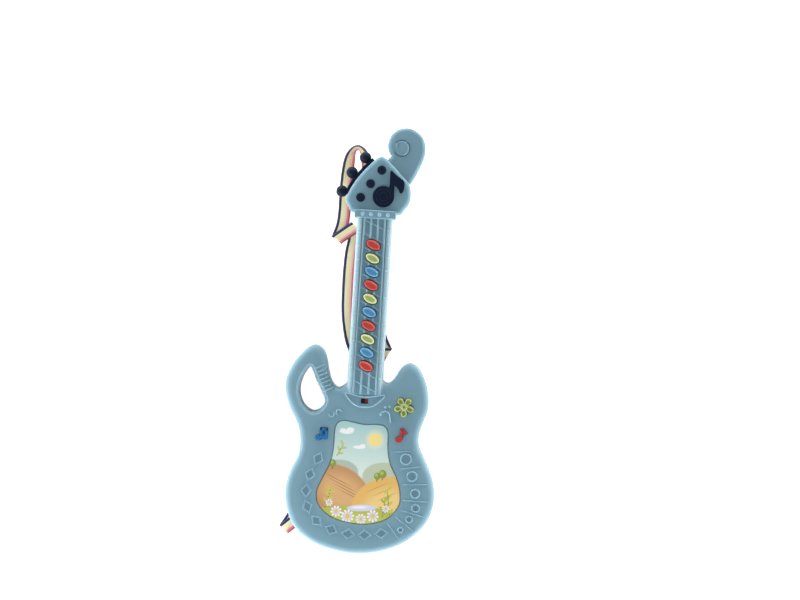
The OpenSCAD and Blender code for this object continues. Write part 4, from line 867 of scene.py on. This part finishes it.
def landscape():
    """Ovals of the print from back to front: x, y, half length, half width and for some an angle, then the
    colour and the softness of the edge."""
    clouds = ((-15, 26, 7.5, 2.4), (-11, 28, 4.2, 2.8), (-18, 27.2, 3.4, 2.2), (-2, 12, 6.5, 1.9),
              (1.5, 13.2, 3.2, 2.3))
    return (
        [((13, 20, 11, 11), (0.78, 0.80, 0.56), 0.7), ((13, 20, 6.2, 6.2), (0.90, 0.74, 0.26), CRISP)]
        + [(spot, (0.86, 0.88, 0.87), 0.3) for spot in clouds]
        + [((-24, -16, 24, 15, 14), (0.40, 0.50, 0.42), CRISP),
           ((28, -18, 26, 17, -10), (0.47, 0.55, 0.40), CRISP),
           ((-20, -30, 32, 24, -22), (0.52, 0.27, 0.11), CRISP),
           ((-16, -31, 29, 20, -22), (0.66, 0.39, 0.17), 0.5)]
        + [((-20 + 5 * k, -20 - 5 * k, 20, 0.5, -24), (0.40, 0.19, 0.07), 0.5) for k in range(4)]
        + [((25, -40, 33, 25, 24), (0.74, 0.45, 0.12), CRISP),
           ((27, -42, 28, 20, 24), (0.82, 0.58, 0.22), 0.5)]
        + [((18 + 5 * k, -25 - 4 * k, 13, 0.45, 26), (0.55, 0.29, 0.07), 0.5) for k in range(3)]
        + round_tree(17, -14.5, 3.2) + round_tree(22, -12.2, 3.8) + round_tree(-26, -4.5, 3.4)
        + [((0, -68, 64, 25), (0.42, 0.47, 0.07), CRISP), ((-2, -64, 50, 15), (0.55, 0.60, 0.13), 0.7),
           ((4, -45.5, 15, 3.4, 4), (0.62, 0.64, 0.78), 0.15),
           ((2, -45, 10, 1.6, 4), (0.82, 0.82, 0.90), 0.5)]
        + sprig(31, -52, 26, 98, 7, STEM, LEAF) + sprig(24, -54, 19, 84, 5, STEM, (0.36, 0.42, 0.06))
        + sprig(-31, -48, 20, 76, 6, STEM, LEAF)
        + sprig(-23, 2, 13, 62, 4, (0.20, 0.12, 0.05), (0.50, 0.55, 0.12)))


def picture_finish():
    m, t, bsdf = finish("picture_print", 0.4, specular=0.12)
    p = in_mm(t, node(t, "ShaderNodeTexCoord").outputs["Object"])
    sky = remap(t, xyz(t, p)[1], -12.0, 34.0)
    c = mix_colour(t, sky, (0.66, 0.78, 0.72, 1), (0.36, 0.60, 0.60, 1))
    for (x, y, a, b, *angle), colour, soft in landscape():
        inputs = {"Vector": p, "Place": (x, y, 0.0), "Half size": (a, b, 1.0),
                  "Angle": math.radians(sum(angle)), "Softness": soft}
        use = node(t, "ShaderNodeGroup", inputs, node_tree=SPOT)
        c = mix_colour(t, use.outputs["Mask"], c, (*colour, 1.0))
    for x, y, r, petals, turn in ((-20, -50, 5.6, 9, 0.2), (-9, -54, 6.6, 10, 0.5), (4, -56, 5.2, 9, 0.1),
                                  (15, -52.5, 6.0, 9, 0.8), (-27, -42, 3.6, 8, 0.4), (27, -45, 3.8, 8, 0.9)):
        inputs = {"Vector": p, "Place": (x, y, 0.0), "Radius": r, "Petals": petals, "Turn": turn}
        use = node(t, "ShaderNodeGroup", inputs, node_tree=DAISY).outputs
        white = mix_colour(t, use["Shade"], (0.58, 0.55, 0.66, 1), (0.90, 0.88, 0.90, 1))
        c = mix_colour(t, use["Petals"], c, white)
        c = mix_colour(t, use["Heart"], c, (0.80, 0.50, 0.07, 1))
    grain = remap(t, noise(t, p, 5.0), 0.35, 0.65, 0.0, 0.12)
    feed(t, bsdf["Base Color"], mix_colour(t, grain, c, (0.55, 0.53, 0.5, 1)))
    feed(t, bsdf["Roughness"], remap(t, noise(t, p, 0.2), 0.3, 0.7, 0.34, 0.46))
    return m


def make_picture():
    bm = plate(bmesh.new(), inset(PICTURE, 0.25), FACE_Z - 1.0, FACE_Z - 0.2, 0.2)
    top = max(bm.faces, key=lambda f: f.calc_center_median().z + (f.normal.z > 0.9))
    # The ring at the print's edge takes the dark second finish: painted shadow of the recess.
    rim = bmesh.ops.inset_region(bm, faces=[top], thickness=0.7, depth=0.0)["faces"]
    for f in rim:
        f.material_index = 1
    piece("picture_face", bm, [picture_finish(), PICTURE_EDGE_SHADE], "picture_plate")


make_picture()


# Note keys

def key_levels():
    """Heights and half axes of a key: foot, flange, sloping skirt, rounded rim and dished middle."""
    low, high, top = KEY_FLANGE, KEY_FLANGE + FLANGE_T, CHANNEL_Z + 2.8
    a, b = KEY_L / 2, KEY_W / 2
    return [(KEY_PLUNGER_Z, 2, 2), (low, 2, 2), (low, a + 1.2, 5.5), (high, a + 1.2, 5.5), (high, a, b),
            (CHANNEL_Z - 0.3, a + 0.12, b + 0.12), (CHANNEL_Z + 0.4, a + 0.12, b + 0.12),
            (top - 1.0, a - 0.4, b - 0.4), (top - 0.6, a - 0.46, b - 0.46), (top - 0.28, a - 0.6, b - 0.6),
            (top - 0.07, a - 0.88, b - 0.88), (top, a - 1.2, b - 1.2), (top - 0.06, a - 1.6, b - 1.55),
            (top - 0.25, a - 1.95, b - 1.85), (top - 0.38, a - 2.4, b - 2.2),
            (top - 0.42, a - 3.6, b - 2.9), (top - 0.44, a - 5.4, b - 3.8)]


def make_key(i):
    bm = oval_stack(key_levels(), 48)
    bm.transform(at(0, KEY_Y[i]) @ turned(KEY_TILT))
    # The top rim gets the painted highlight colour, the skirt below it the painted shade colour.
    mark_heights(bm, CHANNEL_Z + 2.4, CHANNEL_Z + 2.65)
    mark_heights(bm, CHANNEL_Z + 2.2, CHANNEL_Z + 1.8, "skirt")
    name = key_name(i)
    cap(name + "_cap", bm, KEY_FINISH[i % 3], name)


for i in range(KEYS):
    make_key(i)


# Tune buttons: a flower and two notes on round feet

def button_foot(r):
    z = BUTTON_FLANGE
    return spun([(0, PLUNGER_Z), (2, PLUNGER_Z), (2, z), (r, z), (r, z + FLANGE_T), (0, z + FLANGE_T)], 36)


def make_flower():
    """Five dished petals round a ring, with low ground between them."""
    z, foot = BUTTON_TOP, BUTTON_FLANGE + 1
    bm = button_foot(11.6)
    joined(bm, spun([(0, z - 1.3), (4.8, z - 1.3), (5.2, z - 1.7), (5.2, foot), (0, foot)], 48))
    petal = [(0, z - 0.75), (1.1, z - 0.7), (1.9, z - 0.5), (2.3, z - 0.2), (2.6, z), (2.95, z - 0.05),
             (3.25, z - 0.35), (3.4, z - 0.9), (3.4, foot), (0, foot)]
    for k in range(5):
        one = spun(petal, 36)
        for v in one.verts:
            v.co.x *= 1.2
            v.co.y *= 0.62 + 0.36 * min((v.co.x + 4.1) / 5.8, 1.0)
        joined(bm, one, turned(math.radians(72 * k - 90)) @ at(5.6, 0))
    joined(bm, spun([(0, z - 0.5), (1.1, z - 0.5), (1.5, z - 0.1), (2.0, z + 0.15), (2.7, z + 0.15),
                     (3.2, z - 0.1), (3.5, z - 0.7), (3.5, z - 2), (0, z - 2)], 36))
    move(bm, (*FLOWER_AT, 0))
    # Painted highlight on the tops of petals and ring, painted shade on the low ground between petals.
    mark_heights(bm, z - 0.35, z - 0.1)
    mark_heights(bm, z - 0.9, z - 1.3, "skirt")
    cap("flower_cap", bm, FLOWER, "flower_button")


def note_head(bm, x, y, r):
    z = BUTTON_TOP
    joined(bm, spun([(r, BUTTON_FLANGE + 1), (r, z - 0.8), (r - 0.15, z - 0.35), (r - 0.55, z - 0.05),
                     (r - 1.1, z), (0, z - 0.05)], 36), at(x, y))


def note_cap(name, bm, material, node_name, place):
    move(bm, (*place, 0))
    # The tops get the raised colour, a painted highlight.
    mark_heights(bm, BUTTON_TOP - 0.35, BUTTON_TOP - 0.1)
    cap(name, bm, material, node_name)


def make_notes():
    z, foot = BUTTON_TOP, BUTTON_FLANGE + 1
    bm = button_foot(8.4)
    plate(bm, box_line(-1.2, -3.8, 5.6, 5.8, 0.3), foot, z - 1.0)
    for x, y in ((-3, -3.8), (3.2, -2.8)):
        note_head(bm, x, y, 2.6)
    for line in (box_line(-1.2, -3.8, 1.0, 5.8, 0.4), box_line(3.8, -2.8, 5.6, 5.8, 0.4),
                 box_line(-1.2, 3.4, 5.6, 5.8, 0.4)):
        plate(bm, line, foot, z, 0.4)
    note_cap("paired_note_cap", bm, NOTE_BLUE, "blue_note_button", BLUE_AT)
    bm = button_foot(8.4)
    note_head(bm, -1.8, -4, 3.0)
    plate(bm, box_line(-0.6, -4, 1.8, 6.6, 0.4), foot, z, 0.4)
    flag = plate(bmesh.new(), box_line(-0.6, -1.3, 5.4, 1.3, 0.5), foot, z, 0.4)
    joined(bm, flag, at(1.4, 5.4) @ turned(math.radians(-48)))
    note_cap("single_note_cap", bm, NOTE_RED, "red_note_button", RED_AT)


make_flower()
make_notes()


# Rubber domes under the keys and buttons, which flatten as they are pressed

def rubber_dome(name, node_name, place, r, top_r, h):
    x, y, z = place[0], place[1], place[2] + DOME_CLEAR
    h -= 2 * DOME_CLEAR
    bm = spun([(0, h), (top_r - 0.3, h), (top_r - 0.08, h - 0.08), (top_r + 0.05, h - 0.3), (r - 0.1, 0.25),
               (r, 0), (r - 0.8, 0), (top_r - 0.8, h - 1), (0, h - 1)], 40)
    move(bm, (x, y, z))
    obj = piece(name, bm, RUBBER, node_name, weighted=False)
    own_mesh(obj)


def make_rubber():
    base, half_w, thick, hole = KEY_PLUNGER_Z - KEY_DOME_H, 8, 1, 2.4
    bm = bmesh.new()
    edges = line_edges(bm, box_line(-half_w, KEY_Y[-1] - 8, half_w, KEY_END + 6, 1.0), base - thick)
    for middle in KEY_Y:
        edges += line_edges(bm, [(x, middle + y) for x, y in oval(hole, hole, 32)], base - thick)
    bmesh.ops.triangle_fill(bm, edges=edges, use_beauty=True)
    raise_faces(bm, list(bm.faces), thick)
    piece("key_strip_base", bm, RUBBER, "key_rubber_strip")
    for i, y in enumerate(KEY_Y):
        name = key_name(i)
        rubber_dome(name + "_dome", "key_rubber_strip", (0, y, base), 3.6, 2.4,
                    KEY_DOME_H)
    for name, place in (("flower", FLOWER_AT), ("blue_note", BLUE_AT), ("red_note", RED_AT)):
        rubber_dome(name + "_dome", "button_domes",
                    (*place, PLUNGER_Z - BUTTON_DOME_H), 4.6, 2.8, BUTTON_DOME_H)


make_rubber()


# Slide switch: a ridged black knob before a red field

def make_switch():
    x, y = SWITCH_AT
    top, foot, hook, field = 36.15, 33.3, 31.4, 32.55
    bm = plate(bmesh.new(), box_line(x - 3.3, y - 2.2, x + 0.3, y + 2.2, 0.5), foot, top, 0.3)
    ridges = [[(x - 2.7 + 0.8 * k, y + end, top) for end in (-1.7, 1.7)] for k in range(4)]
    joined(bm, beads(ridges, 0.25))
    plate(bm, box_line(x - 2.7, y - 1.2, x - 0.3, y + 1.2, 0.3), hook, hook + 1.2)
    cap("switch_knob", bm, BLACK, "switch_slider")
    line = box_line(x - 8.05, y - 3.4, x + 5.05, y + 3.4, 0.5)
    bm = plate(bmesh.new(), line, field, field + 0.8, 0.15)
    piece("switch_field", bm, SWITCH_RED, body="switch_slider_body")


make_switch()


# Dark trim of the head

HEAD_LINE = curve([on_head(*p) for p in (
    (19, 0.5), (27.5, 6.5), (32, 14), (32.6, 22), (30.5, 31), (22.5, 39.5), (12.5, 49.5), (5.5, 55),
    (0.5, 55), (-6, 49.5), (-14, 40.5), (-21, 31), (-26.5, 20.5), (-29, 13.5), (-26.5, 7), (-19, 0.5))], 3)
PEGS = [((-12.9, 54.5), (-6.3, 49.5)), ((-24.8, 39.5), (-18, 35.3)), ((-33.5, 21.1), (-26.4, 20.7))]


def make_pegs():
    """Strip along the head's edge with a ball on a waisted stem for each peg."""
    outer, inner = inset(HEAD_LINE, -3.6), inset(HEAD_LINE, -0.25)
    left = slice(26, 38)
    bm = plate(bmesh.new(), outer[left] + inner[left][::-1], SPLIT_Z - 4, SPLIT_Z + 4, 0.7, under=True)
    for tip, root in PEGS:
        a, b = Vector(on_head(*root)), Vector(on_head(*tip))
        d = (b - a).normalized()
        a = a + d * 1.5
        ball = (b - a).length
        profile = ([(0, 0), (3, 0), (2.75, 1.0), (2.6, ball - 5.2)] + arc(0, ball, 5.6, -60, 68, 18)
                   + [(1.5, ball + 5.25), (0, ball + 5.15)])
        axis = Vector((d.x, d.y, 0)).to_track_quat("Z", "Y").to_matrix().to_4x4()
        joined(bm, spun(profile, 36), at(a.x, a.y, SPLIT_Z) @ axis)
    piece("peg_strip", bm, NAVY, "tuning_pegs", sharp=50.0)


def make_post_caps():
    bm = bmesh.new()
    for place in ((3.6, 42.5), (-6.3, 29), (-15, 15.5)):
        dome = spun([(0, -3), (2, -3), (2, 0), (4.3, 0), (4.3, 0.7), (4.1, 1.05), (3.5, 1.3),
                     (2.6, 1.55), (1.4, 1.72), (0, 1.8)], 36)
        joined(bm, dome, at(*on_head(*place), HEAD_Z))
    piece("post_domes", bm, NAVY, "string_post_caps", sharp=50.0)


def make_emblem():
    t = 1.6
    bm = spun([(0, t - 0.05), (3.5, t), (3.75, t - 0.3), (4.25, t - 0.3), (4.5, t), (6.5, t),
               (6.75, t - 0.3), (7.25, t - 0.3), (7.5, t), (9.5, t), (10.0, t - 0.2), (10.2, t - 0.7),
               (10.2, 0), (1.6, 0), (1.6, -3), (0, -3)], 56)
    move(bm, (*EMBLEM_AT, HEAD_Z))
    flag = curve([on_head(*p) for p in (
        (16.3, 19.6), (16.6, 24), (16.6, 28.4), (20.2, 25.4), (22.4, 21.6), (25, 22.8), (26, 28.5),
        (25.2, 33.4), (18.5, 38), (12.4, 42.6), (11.9, 36), (11.9, 30), (11.9, 25.3), (14.4, 23))], 3)
    groove = bm.verts.layers.float.new("rim")
    for v in bm.verts:
        v[groove] = float(0.2 < HEAD_Z + t - v.co.z < 0.4)
    plate(bm, flag, HEAD_Z, HEAD_Z + t - 0.02, 0.45)
    piece("emblem_relief", bm, NAVY, "note_emblem", sharp=30.0)


make_pegs()
make_post_caps()
make_emblem()


# Back: screws with crossed recesses, the lid of the battery bay and the band round the strap

def screw(head_r, head_t, r, length):
    """Screw whose head faces -Z with its outer face at 0."""
    bm = bmesh.new()
    circle = bmesh.ops.create_circle(bm, segments=32, radius=head_r * 0.8)["verts"]
    edges = list({e for v in circle for e in v.link_edges})
    a, b = head_r * 0.13, head_r * 0.55
    cross = line_edges(bm, [(a, -b), (a, -a), (b, -a), (b, a), (a, a), (a, b), (-a, b), (-a, a), (-b, a),
                            (-b, -a), (-a, -a), (-a, -b)])
    bmesh.ops.triangle_fill(bm, edges=edges + cross, use_beauty=True)
    low, floor = next_loop(bm, cross)
    move(bm, (0, 0, head_t * 0.6), low)
    bmesh.ops.scale(bm, vec=(0.75, 0.75, 1), verts=low)
    bmesh.ops.edgeloop_fill(bm, edges=floor)
    for wide, z in ((head_r * 0.95, head_t * 0.25), (head_r, head_t * 0.55), (head_r, head_t), (r, head_t),
                    (r, length - 2), (r * 0.3, length)):
        ring, edges = next_loop(bm, edges)
        now = Vector(ring[0].co)
        share = wide / now.to_2d().length
        bmesh.ops.scale(bm, vec=(share, share, 1), verts=ring)
        move(bm, (0, 0, z - now.z), ring)
    bmesh.ops.edgeloop_fill(bm, edges=edges)
    return bm


def make_screws():
    body, neck, head = 7.4, 16.4, 17.4
    places = [(54, -40, body), (-54, -36, body), (45, 4, body), (-46, 4, body), (49, 74, body),
              (0, -79, body), (0, NUT_Y - 14, neck), (21, NUT_Y + 11, head), (27, NUT_Y + 66, head)]
    bm = bmesh.new()
    for k, place in enumerate(places):
        joined(bm, screw(2.6, 1.6, 1.2, 11), at(*place) @ turned(0.4 + 0.7 * k))
    piece("case_screw_set", bm, STEEL, "case_screws", sharp=40.0)
    bm = joined(bmesh.new(), screw(2.4, 1.2, 1.0, 7), at(0, -65.5, 0.2) @ turned(0.3))
    piece("lid_screw", bm, STEEL, "battery_door_screw", sharp=40.0)


def eased(node_name, name, material, width):
    """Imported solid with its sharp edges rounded."""
    bm = packed(node_name)
    bmesh.ops.dissolve_limit(bm, angle_limit=math.radians(1), use_dissolve_boundaries=False,
                             verts=bm.verts, edges=bm.edges)
    sharp = [e for e in bm.edges if len(e.link_faces) == 2 and e.calc_face_angle(0.0) > math.radians(50)]
    round_edges(bm, sharp, width * MM, 2)
    shown(name, bm, material, node_name, 40.0)


make_screws()
eased("battery_door", "battery_lid", SHELL, 0.25)
eased("strap_tie", "tie_band", BAND, 0.1)


# Finishes of the pieces inside

INSIDE = {
    "battery_cell_1": JACKET, "battery_cell_2": JACKET, "battery_cell_3": JACKET,
    "battery_contacts": STEEL, "battery_leads": WIRE, "speaker_basket": STEEL, "speaker_cone": CONE,
    "speaker_magnet": MAGNET, "speaker_leads": WIRE, "main_circuit_board": BOARD, "sound_chip": RESIN,
    "switch_housing": STEEL, "neck_circuit_board": BOARD, "neck_cable": CABLE, "board_screws": STEEL}

for inside_name, inside_finish in INSIDE.items():
    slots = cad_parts[inside_name].data.materials
    slots.clear()
    slots.append(inside_finish)


# Light, floor and the end of the script

def place_stage():
    bm = bmesh.new()
    bmesh.ops.create_grid(bm, x_segments=1, y_segments=1, size=3.0)
    mesh = bpy.data.meshes.new("floor")
    bm.to_mesh(mesh)
    bm.free()
    floor = placed("floor", mesh)
    floor.location = (0, 0.15, -0.0004)
    m, t, bsdf = finish("floor_white", 0.9, specular=0.1)
    bsdf["Base Color"].default_value = (0.86, 0.87, 0.88, 1)
    path = node(t, "ShaderNodeLightPath").outputs
    seen = math_node(t, "MAXIMUM", path["Is Camera Ray"], path["Is Glossy Ray"])
    glow = node(t, "ShaderNodeEmission", {"Color": (1, 1, 1, 1), "Strength": times(t, seen, 0.8)})
    both = node(t, "ShaderNodeAddShader", {0: t.nodes["Principled BSDF"].outputs[0], 1: glow.outputs[0]})
    feed(t, t.nodes["Material Output"].inputs["Surface"], both.outputs[0])
    mesh.materials.append(m)


def place_light():
    """Even light from above and a brighter band near the horizon, which lights the rounded edges."""
    world = bpy.data.worlds.new("studio")
    scene.world = world
    world.use_nodes = True
    t = world.node_tree
    back = t.nodes["Background"].inputs
    back["Color"].default_value = (1, 1, 1, 1)
    height = xyz(t, node(t, "ShaderNodeTexCoord").outputs["Generated"])[2]
    above = remap(t, height, 0.13, 0.24, 11.5, 0.38)
    below = remap(t, height, -0.06, 0.0, 0.06, 1.0)
    feed(t, back["Strength"], times(t, above, below))
    data = bpy.data.lights.new("side_panel", "AREA")
    data.shape = "RECTANGLE"
    data.size, data.size_y = 0.5, 0.4
    data.energy = 1.8
    lamp = placed("side_panel", data)
    lamp.location = (-0.3, -0.35, 0.5)
    lamp.rotation_euler = (-Vector(lamp.location)).to_track_quat("-Z", "Y").to_euler()


place_stage()
place_light()
